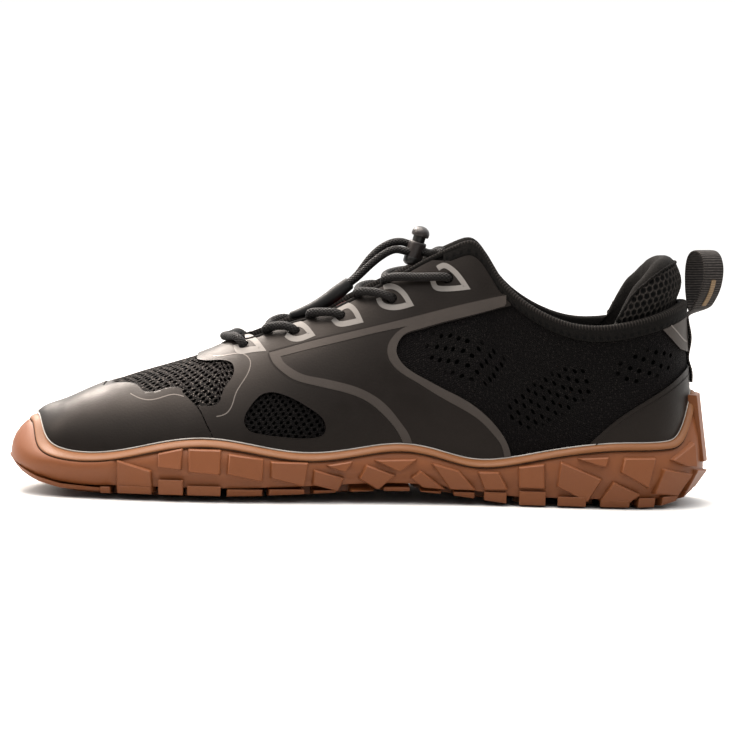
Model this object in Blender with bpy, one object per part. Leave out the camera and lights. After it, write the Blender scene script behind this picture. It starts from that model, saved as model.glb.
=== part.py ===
"""Right-foot knit trail sneaker: a hollow knit upper with bonded film overlays on a moulded gum cup sole.

The last is a function of two parameters. A signed station runs round the shoe, from 0 at the toe to
HEEL at the back, positive on the medial side and negative on the lateral side. A rise runs from 0 at
the feather edge to 1 at the ridge, the throat edge or the collar edge. The toe points along -X.
"""

import math

import bmesh
import bpy
import numpy as np

# Driving dimensions, in millimetres
LENGTH = 285.0
BALL_WIDTH = 107.0
INSTEP_HEIGHT = 104.0
UPPER_WALL = 2.0
FILM = 0.8
CLEARANCE = 0.3
FILM_GAP = 0.4  # between upper and film, as both are faceted
CORD = 3.2

MM = 0.001
PERCENT = 0.01
HEEL = 12.0  # the last station
THROAT = 4.15  # the station where the vamp opens into the throat
SLOT_NOSE = 0.4  # stations that the throat's round front end takes
SLOT_END = 7.0  # the station from which the ribs end at the edge itself


STATIONS = np.array(
    [0, 0.28, 0.56, 0.84, 1.15, 1.55, 2, 2.5, 3, 3.5, 3.85, THROAT, 4.22, 4.38, 4.6, 5, 5.5, 6, 6.5]
    + [7, 7.2, 7.38, 7.52, 7.68, 7.85, 8.15, 8.5, 9, 9.5, 10, 10.5, 11, 11.33, 11.67, 12]
)
ALL_ROUND = np.concatenate([-STATIONS[:0:-1], STATIONS[:-1]])
SOLE_STATIONS = np.array([s for s in STATIONS if not (4.2 < s < 4.5 or 7.1 < s < 7.45 or 7.8 < s < 7.9)])
SOLE_ROUND = np.concatenate([-SOLE_STATIONS[:0:-1], SOLE_STATIONS[:-1]])
RISES = np.array([0, 0.15, 0.3, 0.44, 0.58, 0.72, 0.86, 1.0])


def columns(names, rows):
    """A table as one array for each named column."""
    return dict(zip(names.split(), np.array(rows, float).T))


# Plan of the sole's belly: x in percent of LENGTH, y in percent of BALL_WIDTH, medial side at -Y
OUTLINE = columns(
    "station medial_x medial_y lateral_x lateral_y",
    [
        (0, 0.0, -12.0, 0.0, -12.0),
        (1, 2.1, -30.8, 1.6, 8.5),
        (2, 7.7, -40.7, 6.2, 26.0),
        (3, 16.8, -44.4, 15.0, 41.2),
        (4, 28.1, -45.8, 27.4, 50.9),
        (5, 39.3, -42.5, 39.3, 53.7),
        (6, 49.8, -36.8, 49.8, 49.5),
        (7, 60.4, -33.6, 60.4, 43.9),
        (8, 71.6, -33.2, 71.6, 39.3),
        (9, 82.1, -34.4, 82.1, 36.9),
        (10, 90.5, -32.6, 90.5, 33.6),
        (11, 96.9, -22.0, 96.9, 23.4),
        (12, 99.8, 0.5, 99.8, 0.5),
    ],
)

# Ridge, throat edge and collar edge: x in percent of LENGTH, centre and gap in percent of BALL_WIDTH,
# z in percent of INSTEP_HEIGHT
TOPLINE = columns(
    "station x centre gap z",
    [
        (0, 8.8, -8.4, 0.0, 35.6),
        (1, 10.2, -8.0, 0.0, 37.2),
        (2, 13.9, -6.6, 0.0, 41.2),
        (3, 20.4, -4.2, 0.0, 47.6),
        (4, 28.8, -1.9, 0.0, 55.6),
        (4.5, 33.6, -1.0, 9.8, 62.2),
        (5, 39.3, 0.0, 10.8, 69.2),
        (5.5, 44.5, 0.6, 11.3, 74.0),
        (6, 49.8, 1.0, 11.8, 81.2),
        (6.5, 54.9, 1.4, 12.3, 87.6),
        (7, 59.6, 1.8, 12.8, 94.2),
        (7.3, 63.4, 1.9, 13.6, 99.2),
        (7.5, 65.3, 1.9, 14.4, 100.0),
        (7.7, 66.9, 1.9, 16.2, 95.6),
        (8, 68.7, 1.9, 19.2, 87.6),
        (8.5, 73.2, 1.8, 24.4, 76.6),
        (9, 79.0, 1.5, 27.6, 70.0),
        (9.5, 84.3, 1.2, 28.4, 69.4),
        (10, 88.6, 0.9, 26.8, 71.6),
        (11, 93.7, 0.6, 17.8, 76.2),
        (12, 95.6, 0.5, 0.0, 78.6),
    ],
)

# Section shape: inset of the feather edge in millimetres, outward bulge of the side in millimetres,
# share of the height where the side stands, reach and drop of the top's shoulder
SECTION = columns(
    "station inset bulge stand reach drop",
    [
        (0, 14.0, 9.0, 0.62, 0.62, 0.16),
        (1, 13.0, 7.5, 0.62, 0.60, 0.12),
        (2, 9.5, 4.5, 0.60, 0.60, 0.05),
        (3, 7.5, 3.0, 0.56, 0.60, 0.02),
        (4, 7.0, 2.5, 0.52, 0.58, 0.01),
        (5, 7.0, 2.5, 0.48, 0.54, 0.05),
        (6, 7.0, 3.0, 0.43, 0.54, 0.10),
        (7, 7.0, 3.5, 0.40, 0.52, 0.20),
        (8, 7.0, 3.5, 0.38, 0.50, 0.28),
        (9, 7.0, 4.0, 0.36, 0.60, 0.32),
        (10, 8.5, 6.0, 0.36, 0.75, 0.32),
        (11, 12.0, 10.0, 0.36, 0.85, 0.32),
        (12, 14.5, 12.5, 0.36, 0.95, 0.32),
    ],
)

# Height of the gum rim above the floor, in millimetres: bumper at the toe, waves, tab at the heel
RIM = columns(
    "station z",
    [
        (0, 31.0),
        (0.5, 29.6),
        (1, 24.6),
        (1.5, 20.2),
        (2, 18.2),
        (2.5, 17.5),
        (3, 19.2),
        (3.5, 22.6),
        (4, 24.3),
        (4.5, 22.8),
        (5, 20.2),
        (5.4, 19.4),
        (6, 21.4),
        (6.6, 23.5),
        (7, 21.7),
        (7.5, 18.0),
        (8, 19.2),
        (8.5, 22.4),
        (9, 24.8),
        (9.5, 26.0),
        (10, 26.2),
        (10.5, 26.6),
        (11, 30.0),
        (11.35, 38.0),
        (11.7, 44.4),
        (12, 46.0),
    ],
)

# Sole sizes, in millimetres
TREAD = 3.2  # depth of the bottom lugs
BASE_TO_INSIDE = 8.2  # floor to the inside of the cup, where the sole is flat
INSIDE_FOLLOWS = 0.8  # share of the toe spring and arch that the inside follows
FOREFOOT_FLAT = (55.0, 88.0)
HEEL_FLAT = (207.0, 256.0)
TOE_SPRING = (7.5, 46.0, 3.2)  # rise, length and power of the curve up to the toe
HEEL_RISE = (3.6, 14.0, 2.2)
ARCH_RISE = 4.2
BELLY_HEIGHT = 13.0
WALL_LEAN = 2.6  # power of the wall's lean from belly to rim
RIM_WALL = 2.6
RIM_BAND = 3.2
GROOVE = (0.9, 1.0)  # height and depth of the groove below the rim band
LUG_RAISE = 1.1
LUG_ROOT = 1.6
CUP_EASE = 0.25  # more room between cup and upper below the rim

# Tuck of the sole's bottom edge under its belly, in millimetres
TUCK = columns(
    "station inset",
    [(0, 8.5), (1, 7.5), (2, 5.0), (3, 3.2), (5, 3.0), (8, 3.0), (10, 4.2), (11, 7.0), (12, 9.0)],
)


def spline(knots, values):
    """A natural cubic through the rows of a table, as a function of the station."""
    k = np.asarray(knots, float)
    v = np.asarray(values, float)
    step = np.diff(k)
    system = np.eye(len(k))
    target = np.zeros(len(k))
    for i in range(1, len(k) - 1):
        system[i, i - 1 : i + 2] = step[i - 1], 2 * (step[i - 1] + step[i]), step[i]
        target[i] = 6 * ((v[i + 1] - v[i]) / step[i] - (v[i] - v[i - 1]) / step[i - 1])
    bend = np.linalg.solve(system, target)

    def at(where):
        where = np.asarray(where, float)
        i = np.clip(np.searchsorted(k, where) - 1, 0, len(k) - 2)
        b = (where - k[i]) / step[i]
        a = 1 - b
        curve = ((a**3 - a) * bend[i] + (b**3 - b) * bend[i + 1]) * step[i] ** 2 / 6
        return a * v[i] + b * v[i + 1] + curve

    return at


def lap(table, medial, lateral=None, scale=1.0, odd=False):
    """A column carried round the whole shoe, so that it is smooth through the toe and the heel."""
    station = table["station"]
    one = table[medial]
    other = table[lateral or medial] * (-1 if odd else 1)
    knots = np.concatenate([-station[::-1], station[1:]])
    values = np.concatenate([other[::-1], one[1:]]) * scale
    turn = 2 * HEEL
    knots_round = np.concatenate([knots[-4:-1] - turn, knots, knots[1:4] + turn])
    values_round = np.concatenate([values[-4:-1], values, values[1:4]])
    return spline(knots_round, values_round)


OUTLINE_X = lap(OUTLINE, "medial_x", "lateral_x", LENGTH * PERCENT)
OUTLINE_Y = lap(OUTLINE, "medial_y", "lateral_y", BALL_WIDTH * PERCENT)
TOP_X = lap(TOPLINE, "x", scale=LENGTH * PERCENT)
TOP_CENTRE = lap(TOPLINE, "centre", scale=BALL_WIDTH * PERCENT)
TOP_GAP = lap(TOPLINE, "gap", scale=BALL_WIDTH * PERCENT, odd=True)
TOP_Z = lap(TOPLINE, "z", scale=INSTEP_HEIGHT * PERCENT)
RIM_Z = lap(RIM, "z")
TUCK_INSET = lap(TUCK, "inset")
INSET, BULGE = lap(SECTION, "inset"), lap(SECTION, "bulge")
STAND, REACH, DROP = lap(SECTION, "stand"), lap(SECTION, "reach"), lap(SECTION, "drop")


def stack(*parts):
    """Points from their three coordinates."""
    return np.stack(np.broadcast_arrays(*parts), axis=-1).astype(float)


def unit(vectors):
    return vectors / np.linalg.norm(vectors, axis=-1, keepdims=True)


def ground(x):
    """Height of the tread's lowest face: toe spring, arch and heel rise, flat between them."""
    x = np.asarray(x, float)
    rise, run, power = TOE_SPRING
    toe = rise * (np.clip(FOREFOOT_FLAT[0] - x, 0, None) / run) ** power
    share = np.clip((x - FOREFOOT_FLAT[1]) / (HEEL_FLAT[0] - FOREFOOT_FLAT[1]), 0, 1)
    arch = ARCH_RISE * np.sin(math.pi * share**1.36) ** 1.4
    rise, run, power = HEEL_RISE
    heel = rise * (np.clip(x - HEEL_FLAT[1], 0, None) / run) ** power
    return toe + arch + heel


def inside_floor(x):
    return BASE_TO_INSIDE + INSIDE_FOLLOWS * ground(x)


def outline(s):
    """Plan point and outward plan normal of the sole's belly."""
    tiny = 1e-3
    along = stack(OUTLINE_X(s + tiny) - OUTLINE_X(s - tiny), OUTLINE_Y(s + tiny) - OUTLINE_Y(s - tiny))
    along = unit(along)
    return stack(OUTLINE_X(s), OUTLINE_Y(s)), stack(along[..., 1], -along[..., 0])


def top_edge(s):
    """Where the ribs end: the ridge of the vamp, opening slowly into the two collar edges."""
    opened = np.clip((np.abs(s) - THROAT) / (SLOT_END - THROAT), 0, 1)
    gap = TOP_GAP(s) * opened**2 * (3 - 2 * opened)
    return stack(TOP_X(s), TOP_CENTRE(s) - gap, TOP_Z(s))


def last(s, t):
    """The upper's outer face: a cubic from the feather edge, up the side and over to the top edge."""
    s, t = np.broadcast_arrays(np.asarray(s, float), np.asarray(t, float))
    plan, out = outline(s)
    foot = plan - out * INSET(s)[..., None]
    start = stack(foot[..., 0], foot[..., 1], inside_floor(foot[..., 0]) + CLEARANCE)
    end = top_edge(s)
    height = (end - start)[..., 2]
    side = start + stack(out[..., 0] * BULGE(s), out[..., 1] * BULGE(s), STAND(s) * height)
    shoulder = end + (start - end) * stack(REACH(s), REACH(s), DROP(s))
    t = t[..., None]
    return (1 - t) ** 3 * start + 3 * (1 - t) ** 2 * t * side + 3 * (1 - t) * t**2 * shoulder + t**3 * end


def normal(s, t):
    """Outward normal of the last, read just below the ridge, where its ribs draw together."""
    tiny = 1e-3
    t = np.minimum(t, 0.97)
    along = last(s + tiny, t) - last(s - tiny, t)
    up = last(s, t + tiny) - last(s, t - tiny)
    return unit(np.cross(along, up))


def skin(s, t, offset):
    """A point that far outside the last, or inside it where the offset is negative."""
    return last(s, t) + normal(s, t) * np.asarray(offset, float)[..., None]


def rise_at_height(s, height):
    """The rise where each station's rib first reaches a height above the floor."""
    t = np.linspace(0, 1, 201)
    ribs = last(np.asarray(s)[:, None], t[None, :])[..., 2]
    return np.array([np.interp(h, rib, t) for h, rib in zip(np.broadcast_to(height, len(ribs)), ribs)])


def edge_rise(s):
    """The rise of the throat's slot, with its round front end: 1 on the closed vamp and at the collar."""
    s = np.asarray(s, float)
    t = np.linspace(0.4, 1, 151)
    ribs = last(s[:, None], t[None, :])
    away = np.abs(ribs[..., 1] - TOP_CENTRE(s)[:, None])
    opened = np.clip((np.abs(s) - THROAT) / SLOT_NOSE, 0, 1)
    slot = np.abs(TOP_GAP(s)) * np.sqrt(1 - (1 - opened) ** 2)
    rise = np.array([np.interp(-gap, -rib, t) for gap, rib in zip(slot, away)])
    return np.where((opened <= 0) | (np.abs(s) >= SLOT_END), 1.0, rise)


def rise_from_edge(s, distance):
    """The rise that lies a distance below the top edge, measured along the rib."""
    share = np.linspace(0, 1, 201)
    t = edge_rise(s)[:, None] * share[None, :]
    ribs = last(np.asarray(s)[:, None], t)
    steps = np.linalg.norm(np.diff(ribs, axis=1), axis=-1)
    left = np.concatenate([np.cumsum(steps[:, ::-1], axis=1)[:, ::-1], np.zeros((len(ribs), 1))], axis=1)
    far = np.broadcast_to(distance, len(left))
    return np.array([np.interp(-d, -rib, row) for d, rib, row in zip(far, left, t)])


def station_at(x):
    """The medial station whose belly lies at that length."""
    s = np.linspace(0, HEEL, 601)
    return np.interp(x, OUTLINE_X(s), s)


# Meshes


def material(name, colour, roughness, metallic=0.0):
    made = bpy.data.materials.new(name)
    made.use_nodes = True
    shader = made.node_tree.nodes["Principled BSDF"]
    shader.inputs["Base Color"].default_value = (*colour, 1.0)
    shader.inputs["Roughness"].default_value = roughness
    shader.inputs["Metallic"].default_value = metallic
    return made


def add(name, points, faces, finish, smooth_angle=40.0):
    """A named object from points in millimetres."""
    mesh = bpy.data.meshes.new(name)
    mesh.from_pydata((np.asarray(points, float).reshape(-1, 3) * MM).tolist(), [], faces)
    work = bmesh.new()
    work.from_mesh(mesh)
    bmesh.ops.remove_doubles(work, verts=work.verts, dist=1e-6)
    bmesh.ops.recalc_face_normals(work, faces=work.faces)
    work.to_mesh(mesh)
    work.free()
    mesh.shade_smooth()
    mesh.set_sharp_from_angle(angle=math.radians(smooth_angle))
    if finish is not None:
        mesh.materials.append(finish)
    obj = bpy.data.objects.new(name, mesh)
    bpy.context.scene.collection.objects.link(obj)
    return obj


def grid_faces(index, closed_rows=False, closed_columns=False):
    """Quads over a grid of point numbers, with doubled corners dropped."""
    rows, cols = index.shape
    faces = []
    for i in range(rows if closed_rows else rows - 1):
        for j in range(cols if closed_columns else cols - 1):
            a, b = (i + 1) % rows, (j + 1) % cols
            quad = list(dict.fromkeys((index[i, j], index[a, j], index[a, b], index[i, b])))
            if len(quad) > 2:
                faces.append([int(v) for v in quad])
    return faces


def sweep(name, sections, finish, ring=False):
    """A solid from closed sections in a row, capped at both ends unless they form a ring."""
    sections = np.asarray(sections, float)
    count, around = sections.shape[:2]
    index = np.arange(count * around).reshape(count, around)
    faces = grid_faces(index, closed_rows=ring, closed_columns=True)
    if not ring:
        faces += [index[0].tolist(), index[-1].tolist()]
    return add(name, sections, faces, finish)


def boolean(obj, other, operation):
    """Joins or cuts with another object and applies it."""
    modifier = obj.modifiers.new(operation.lower(), "BOOLEAN")
    modifier.operation = operation
    modifier.solver = "EXACT"
    modifier.use_self = operation == "UNION"
    modifier.object = other
    graph = bpy.context.evaluated_depsgraph_get()
    made = bpy.data.meshes.new_from_object(obj.evaluated_get(graph))
    obj.modifiers.clear()
    obj.data = made
    bpy.data.objects.remove(other)
    return obj


def tube(name, path, radius, finish, sides=6):
    """A round cord along a path, with flat ends."""
    path = np.asarray(path, float)
    tangent = unit(np.gradient(path, axis=0))
    side = unit(np.cross(tangent, (0.0, 0.02, 1.0)))
    up = np.cross(side, tangent)
    angle = np.arange(sides) * 2 * math.pi / sides
    ring = np.cos(angle)[None, :, None] * side[:, None] + np.sin(angle)[None, :, None] * up[:, None]
    return sweep(name, path[:, None] + ring * radius, finish)


def smooth_path(points, count):
    """A smooth curve through a few points, read at even steps of its length."""
    points = np.asarray(points, float)
    gone = np.concatenate([[0], np.cumsum(np.linalg.norm(np.diff(points, axis=0), axis=1))])
    where = np.linspace(0, gone[-1], count)
    return np.stack([spline(gone, points[:, k])(where) for k in range(3)], axis=1)


# Outsole

SIDE_LUGS = columns(
    "top_front_x top_back_x foot_front_x foot_back_x top_front_z top_back_z foot_front_z foot_back_z",
    [
        (61.6, 71.2, 61.8, 70.6, 16.0, 18.4, 11.6, 10.5),
        (74.0, 87.0, 74.2, 86.2, 18.8, 18.8, 10.2, 9.3),
        (90.4, 104.0, 89.8, 103.4, 17.3, 15.0, 9.0, 6.8),
        (108.0, 122.0, 107.4, 121.0, 13.5, 13.5, 8.2, 5.6),
        (129.6, 138.8, 131.0, 136.8, 13.4, 14.8, 12.4, 11.2),
        (125.6, 136.1, 123.8, 133.4, 11.4, 9.2, 6.4, 5.2),
        (149.1, 165.0, 157.6, 160.4, 16.2, 17.2, 12.6, 12.6),
        (145.1, 156.8, 142.5, 150.2, 13.8, 10.3, 8.8, 5.8),
        (167.1, 171.2, 171.0, 176.9, 12.2, 9.8, 6.4, 6.2),
        (172.6, 183.5, 180.6, 188.9, 15.4, 12.6, 6.6, 5.8),
        (189.9, 198.3, 192.4, 201.2, 12.0, 12.2, 6.2, 6.2),
        (206.6, 216.1, 206.4, 216.0, 14.0, 15.9, 7.8, 6.9),
        (222.9, 239.0, 221.5, 233.7, 16.8, 10.6, 7.6, 4.4),
        (230.8, 242.0, 239.0, 241.4, 19.0, 20.0, 16.4, 16.2),
        (248.0, 261.1, 247.3, 257.8, 20.2, 20.2, 14.0, 8.8),
        (244.6, 254.7, 240.0, 249.8, 9.9, 6.4, 5.4, 4.4),
        (265.6, 275.4, 260.7, 271.1, 15.5, 14.0, 7.4, 7.4),
        (268.3, 276.8, 273.0, 276.4, 20.4, 21.0, 18.0, 17.2),
    ],
)

EDGE_LUGS = columns(
    "front back top",
    [
        (9.0, 24.0, 8.6),
        (28.0, 42.0, 5.2),
        (45.5, 58.5, 10.4),
        (62.6, 72.0, 7.8),
        (75.0, 86.8, 5.9),
        (89.8, 103.2, 4.8),
        (106.0, 120.0, 4.9),
        (125.0, 135.0, 4.2),
        (141.0, 150.0, 4.6),
        (154.0, 165.0, 7.2),
        (168.0, 176.0, 4.4),
        (180.0, 191.0, 4.4),
        (195.0, 203.5, 4.8),
        (206.8, 216.2, 5.6),
        (221.0, 233.0, 3.6),
        (238.0, 250.0, 4.2),
        (253.5, 267.0, 5.0),
    ],
)

MIDDLE_LUG_PITCH = 19.0
MIDDLE_LUG_LENGTH = 13.0
MIDDLE_LUG_LEAN = 4.0
EDGE_LUG_DEPTH = 11.0
HEEL_RIB = (11.62, 21.0, 43.5)  # station of its edge, lowest and highest point


def tread_depth(x):
    """Depth of the bottom lugs, less where the sole curves up at toe and heel."""
    return TREAD * np.clip(np.minimum(0.5 + x / 50, 0.6 + (LENGTH - x) / 45), 0, 1)


def wall_inset(s, z):
    """How far the sole's outer wall lies inside its belly at a height: tucked below, leaning above."""
    s, z = np.broadcast_arrays(np.asarray(s, float), np.asarray(z, float))
    flat = s.ravel()
    plan, out = outline(flat)
    rim = RIM_Z(flat)
    edge = last(flat, rise_at_height(flat, rim))
    lean = ((plan - edge[:, :2]) * out).sum(axis=1) - CLEARANCE - RIM_WALL
    foot_x = (plan - out * TUCK_INSET(flat)[:, None])[:, 0]
    foot = ground(foot_x) + tread_depth(foot_x)
    belly = np.minimum(np.maximum(BELLY_HEIGHT, foot + 2), rim - 5.5)
    level = z.ravel()
    above = np.clip((level - belly) / (rim - belly), 0, 1)
    below = np.clip((belly - level) / (belly - foot), 0, 1.3)
    return (lean * above**WALL_LEAN + TUCK_INSET(flat) * below**2).reshape(s.shape)


def wall(s, z, raised=0.0):
    """A point on the sole's outer wall, raised outward from it."""
    s, z = np.broadcast_arrays(np.asarray(s, float), np.asarray(z, float))
    plan, out = outline(s)
    place = plan - out * (wall_inset(s, z) - raised)[..., None]
    return stack(place[..., 0], place[..., 1], z)


def block(corners):
    """Points and faces of one solid with an outer face and an inner face of as many corners."""
    outer, inner = corners
    count = len(outer)
    faces = [list(range(count)), list(range(2 * count - 1, count - 1, -1))]
    for i in range(count):
        j = (i + 1) % count
        faces.append([i, i + count, j + count, j])
    return np.concatenate([outer, inner]), faces


def lug_blocks():
    """All lugs: raised blocks on the wall of both sides, blocks along the bottom edge, and the tread."""
    blocks = []
    for side in (1, -1):
        rows = SIDE_LUGS
        for i in range(len(rows["top_front_x"])):
            x = np.array([rows[k][i] for k in ("top_front_x", "top_back_x", "foot_back_x", "foot_front_x")])
            z = np.array([rows[k][i] for k in ("top_front_z", "top_back_z", "foot_back_z", "foot_front_z")])
            s = side * station_at(x)
            blocks.append(block((wall(s, z, LUG_RAISE), wall(s, z, -LUG_ROOT))))
        for front, back, top in zip(EDGE_LUGS["front"], EDGE_LUGS["back"], EDGE_LUGS["top"]):
            ends = []
            for x in (front, back):
                s = np.array([side * station_at(x)])
                plan, out = outline(s)
                high = wall(s, np.array([top]), LUG_RAISE)[0]
                low = plan[0] - out[0] * 1.4 - out[0] * max(0.0, wall_inset(s, np.array([top]))[0] - 2.5)
                deep = plan[0] - out[0] * EDGE_LUG_DEPTH
                base = ground(deep[0])
                ends.append(
                    np.array(
                        [
                            high,
                            (low[0], low[1], ground(low[0])),
                            (deep[0], deep[1], base),
                            (deep[0], deep[1], base + tread_depth(deep[0]) + 0.8),
                            (low[0] - out[0][0] * 4, low[1] - out[0][1] * 4, max(top - 0.6, base + TREAD)),
                        ]
                    )
                )
            blocks.append(block(ends))
    for x in np.arange(34.0, 250.0, MIDDLE_LUG_PITCH):
        s = station_at(x)
        low = outline(np.array([s]))[0][0][1] + EDGE_LUG_DEPTH + 3
        high = outline(np.array([-s]))[0][0][1] - EDGE_LUG_DEPTH - 3
        count = 3 if high - low > 50 else 2
        width = (high - low - 3 * (count - 1)) / count
        for i in range(count):
            y = low + i * (width + 3)
            lean = MIDDLE_LUG_LEAN * (1 if i % 2 else -1)
            plan = [(x, y), (x + lean, y + width)]
            plan += [(x + lean + MIDDLE_LUG_LENGTH, y + width), (x + MIDDLE_LUG_LENGTH, y)]
            foot = np.array([(a, b, ground(a)) for a, b in plan])
            root = np.array([(a, b, ground(a) + tread_depth(a) + 0.8) for a, b in plan])
            blocks.append(block((foot, root)))
    edge, low, high = HEEL_RIB
    around = np.concatenate([np.linspace(edge, HEEL, 3), np.linspace(-HEEL, -edge, 3)[1:]])
    strip = np.concatenate([around, around[::-1]])
    level = np.concatenate([np.full(5, high), np.full(5, low)])
    blocks.append(block((wall(strip, level, LUG_RAISE), wall(strip, level, -LUG_ROOT))))
    points, faces, start = [], [], 0
    for corners, sides in blocks:
        points.append(corners)
        faces += [[v + start for v in side] for side in sides]
        start += len(corners)
    return np.concatenate(points), faces


def make_outsole(finish):
    """The cup: bottom edge, belly, groove, rim band and inner wall round the shoe, floors laid across."""
    s = SOLE_ROUND
    plan, out = outline(s)
    foot = plan - out * TUCK_INSET(s)[:, None]
    bottom = ground(foot[:, 0]) + tread_depth(foot[:, 0])
    rim = RIM_Z(s)
    high, deep = GROOVE
    belly = np.minimum(np.maximum(BELLY_HEIGHT, bottom + 2), rim - 5.5)
    groove = rim - RIM_BAND - high
    rise = rise_at_height(s, rim)
    corner = plan - out * (INSET(s) - CLEARANCE - CUP_EASE)[:, None]
    rows = [
        stack(foot[:, 0], foot[:, 1], bottom),
        wall(s, bottom + 0.45 * (belly - bottom)),
        wall(s, belly),
        wall(s, 0.5 * (belly + groove)),
        wall(s, groove),
        wall(s, groove + 0.5 * high, -deep),
        wall(s, rim - RIM_BAND),
        wall(s, rim - 0.8),
        wall(s, rim, -0.8),
        skin(s, rise, np.full(len(s), CLEARANCE)),
        skin(s, rise * 0.7, np.full(len(s), CLEARANCE + CUP_EASE)),
        skin(s, rise * 0.4, np.full(len(s), CLEARANCE + CUP_EASE)),
        skin(s, rise * 0.15, np.full(len(s), CLEARANCE + CUP_EASE)),
        stack(corner[:, 0], corner[:, 1], inside_floor(corner[:, 0])),
    ]
    points = np.stack(rows, axis=1)
    index = np.arange(points.shape[0] * points.shape[1]).reshape(points.shape[:2])
    faces = grid_faces(index, closed_rows=True)
    count = len(SOLE_STATIONS)
    medial = [count - 1 + i for i in range(count - 1)] + [0]
    lateral = [count - 1 - i for i in range(count)]
    for ring in (index[:, 0], index[:, -1]):
        for i in range(count - 1):
            quad = [ring[medial[i]], ring[medial[i + 1]], ring[lateral[i + 1]], ring[lateral[i]]]
            quad = list(dict.fromkeys(int(v) for v in quad))
            faces.append(quad)
    sole = add("outsole", points, faces, finish)
    corners, sides = lug_blocks()
    lugs = add("lugs", corners, sides, finish)
    boolean(sole, lugs, "UNION")
    return sole


# Upper and the pieces inside it


def shell(name, outer, inner, low, high, finish):
    """A closed wall between two offsets of the last, from one rise to another at every station."""
    stations = STATIONS
    s = ALL_ROUND
    share = RISES[None, :]
    t = low(s)[:, None] * (1 - share) + high(s)[:, None] * share
    points = []
    numbers = []
    start = 0
    for offset in (outer, inner):
        face = skin(s[:, None], t, np.full(t.shape, offset))
        index = np.arange(face.shape[0] * face.shape[1]).reshape(face.shape[:2]) + start
        zero = len(stations) - 1
        for i in range(len(stations)):
            if stations[i] <= THROAT:
                one, other = zero + i, zero - i
                middle = (face[one, -1] + face[other, -1]) / 2
                face[one, -1] = middle
                face[other, -1] = middle
                index[other, -1] = index[one, -1]
        points.append(face.reshape(-1, 3))
        numbers.append(index)
        start += face.shape[0] * face.shape[1]
    faces = grid_faces(numbers[0], closed_rows=True) + grid_faces(numbers[1], closed_rows=True)
    count = len(s)
    for i in range(count):
        j = (i + 1) % count
        corner = (numbers[0][i, 0], numbers[0][j, 0], numbers[1][j, 0], numbers[1][i, 0])
        faces.append([int(n) for n in corner])
        if min(abs(s[i]), abs(s[j])) >= THROAT - 1e-6:
            quad = (numbers[0][i, -1], numbers[0][j, -1], numbers[1][j, -1], numbers[1][i, -1])
            faces.append(list(dict.fromkeys(int(n) for n in quad)))
    return add(name, np.concatenate(points), faces, finish)


def make_upper(finish):
    return shell("upper", 0.0, -UPPER_WALL, np.zeros_like, edge_rise, finish)


INSOLE_THICK = 3.0
INSOLE_CLEAR = 1.0


def make_insole(finish):
    """A plate on the cup's floor, inside the feather edge."""
    s = SOLE_STATIONS
    edges = []
    for side in (1, -1):
        plan, out = outline(side * s)
        edge = plan - out * (INSET(s) + UPPER_WALL + INSOLE_CLEAR)[:, None]
        edges.append(edge)
    sections = []
    for medial, lateral in list(zip(*edges))[1:-1]:
        low = inside_floor(medial[0]) + CLEARANCE
        low_far = inside_floor(lateral[0]) + CLEARANCE
        sections.append(
            [
                (medial[0], medial[1], low),
                (lateral[0], lateral[1], low_far),
                (lateral[0], lateral[1], low_far + INSOLE_THICK),
                (medial[0], medial[1], low + INSOLE_THICK),
            ]
        )
    return sweep("insole", sections, finish)


TONGUE_THICK = 3.0
TONGUE_FROM = 3.7
TONGUE_TO = 7.45
TONGUE_UNDER = 12.0  # how far it lies under the eyestay
TONGUE_CROWN = 1.0
TONGUE_EASE = 0.7


def tongue_line(s):
    """The tongue's top face across the throat: under one eyestay, over the middle, under the other."""
    inward = -(UPPER_WALL + CLEARANCE + TONGUE_EASE)
    sides = []
    for side in (1, -1):
        station = np.full(4, side * s)
        shares = np.array([TONGUE_UNDER, TONGUE_UNDER * 0.66, TONGUE_UNDER * 0.33, 1.0])
        rise = rise_from_edge(station, shares)
        sides.append(skin(station, rise, np.full(4, inward)))
    middle = (sides[0][-1] + sides[1][-1]) / 2
    crown = TONGUE_CROWN if s > THROAT + 0.2 else 0.0
    return np.concatenate([sides[0], [middle + (0, 0, crown)], sides[1][::-1]])


def make_tongue(finish):
    sections = []
    for s in np.concatenate([np.linspace(TONGUE_FROM, 5, 5), np.linspace(5.5, TONGUE_TO, 5)]):
        line = tongue_line(s)
        step = unit(np.gradient(line, axis=0))
        ahead = tongue_line(s + 0.05) - tongue_line(s - 0.05)
        down = unit(np.cross(unit(ahead), step))
        down *= np.sign(-down[4, 2])
        sections.append(np.concatenate([line, (line + down * TONGUE_THICK)[::-1]]))
    return sweep("tongue", sections, finish)


# Film overlays, outlined in the side view: length and height in millimetres

TOE_CAP = columns(
    "length height",
    [
        (-5.0, 5.0),
        (-5.0, 60.0),
        (34.6, 60.0),
        (34.6, 39.6),
        (41.7, 42.6),
        (48.5, 43.9),
        (52.1, 43.6),
        (54.2, 42.3),
        (57.3, 41.8),
        (62.2, 43.0),
        (66.9, 44.0),
        (70.0, 43.6),
        (70.4, 42.1),
        (74.5, 38.7),
        (78.2, 34.6),
        (80.4, 30.4),
        (82.2, 27.2),
        (83.4, 24.5),
        (84.0, 5.0),
    ],
)

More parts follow.
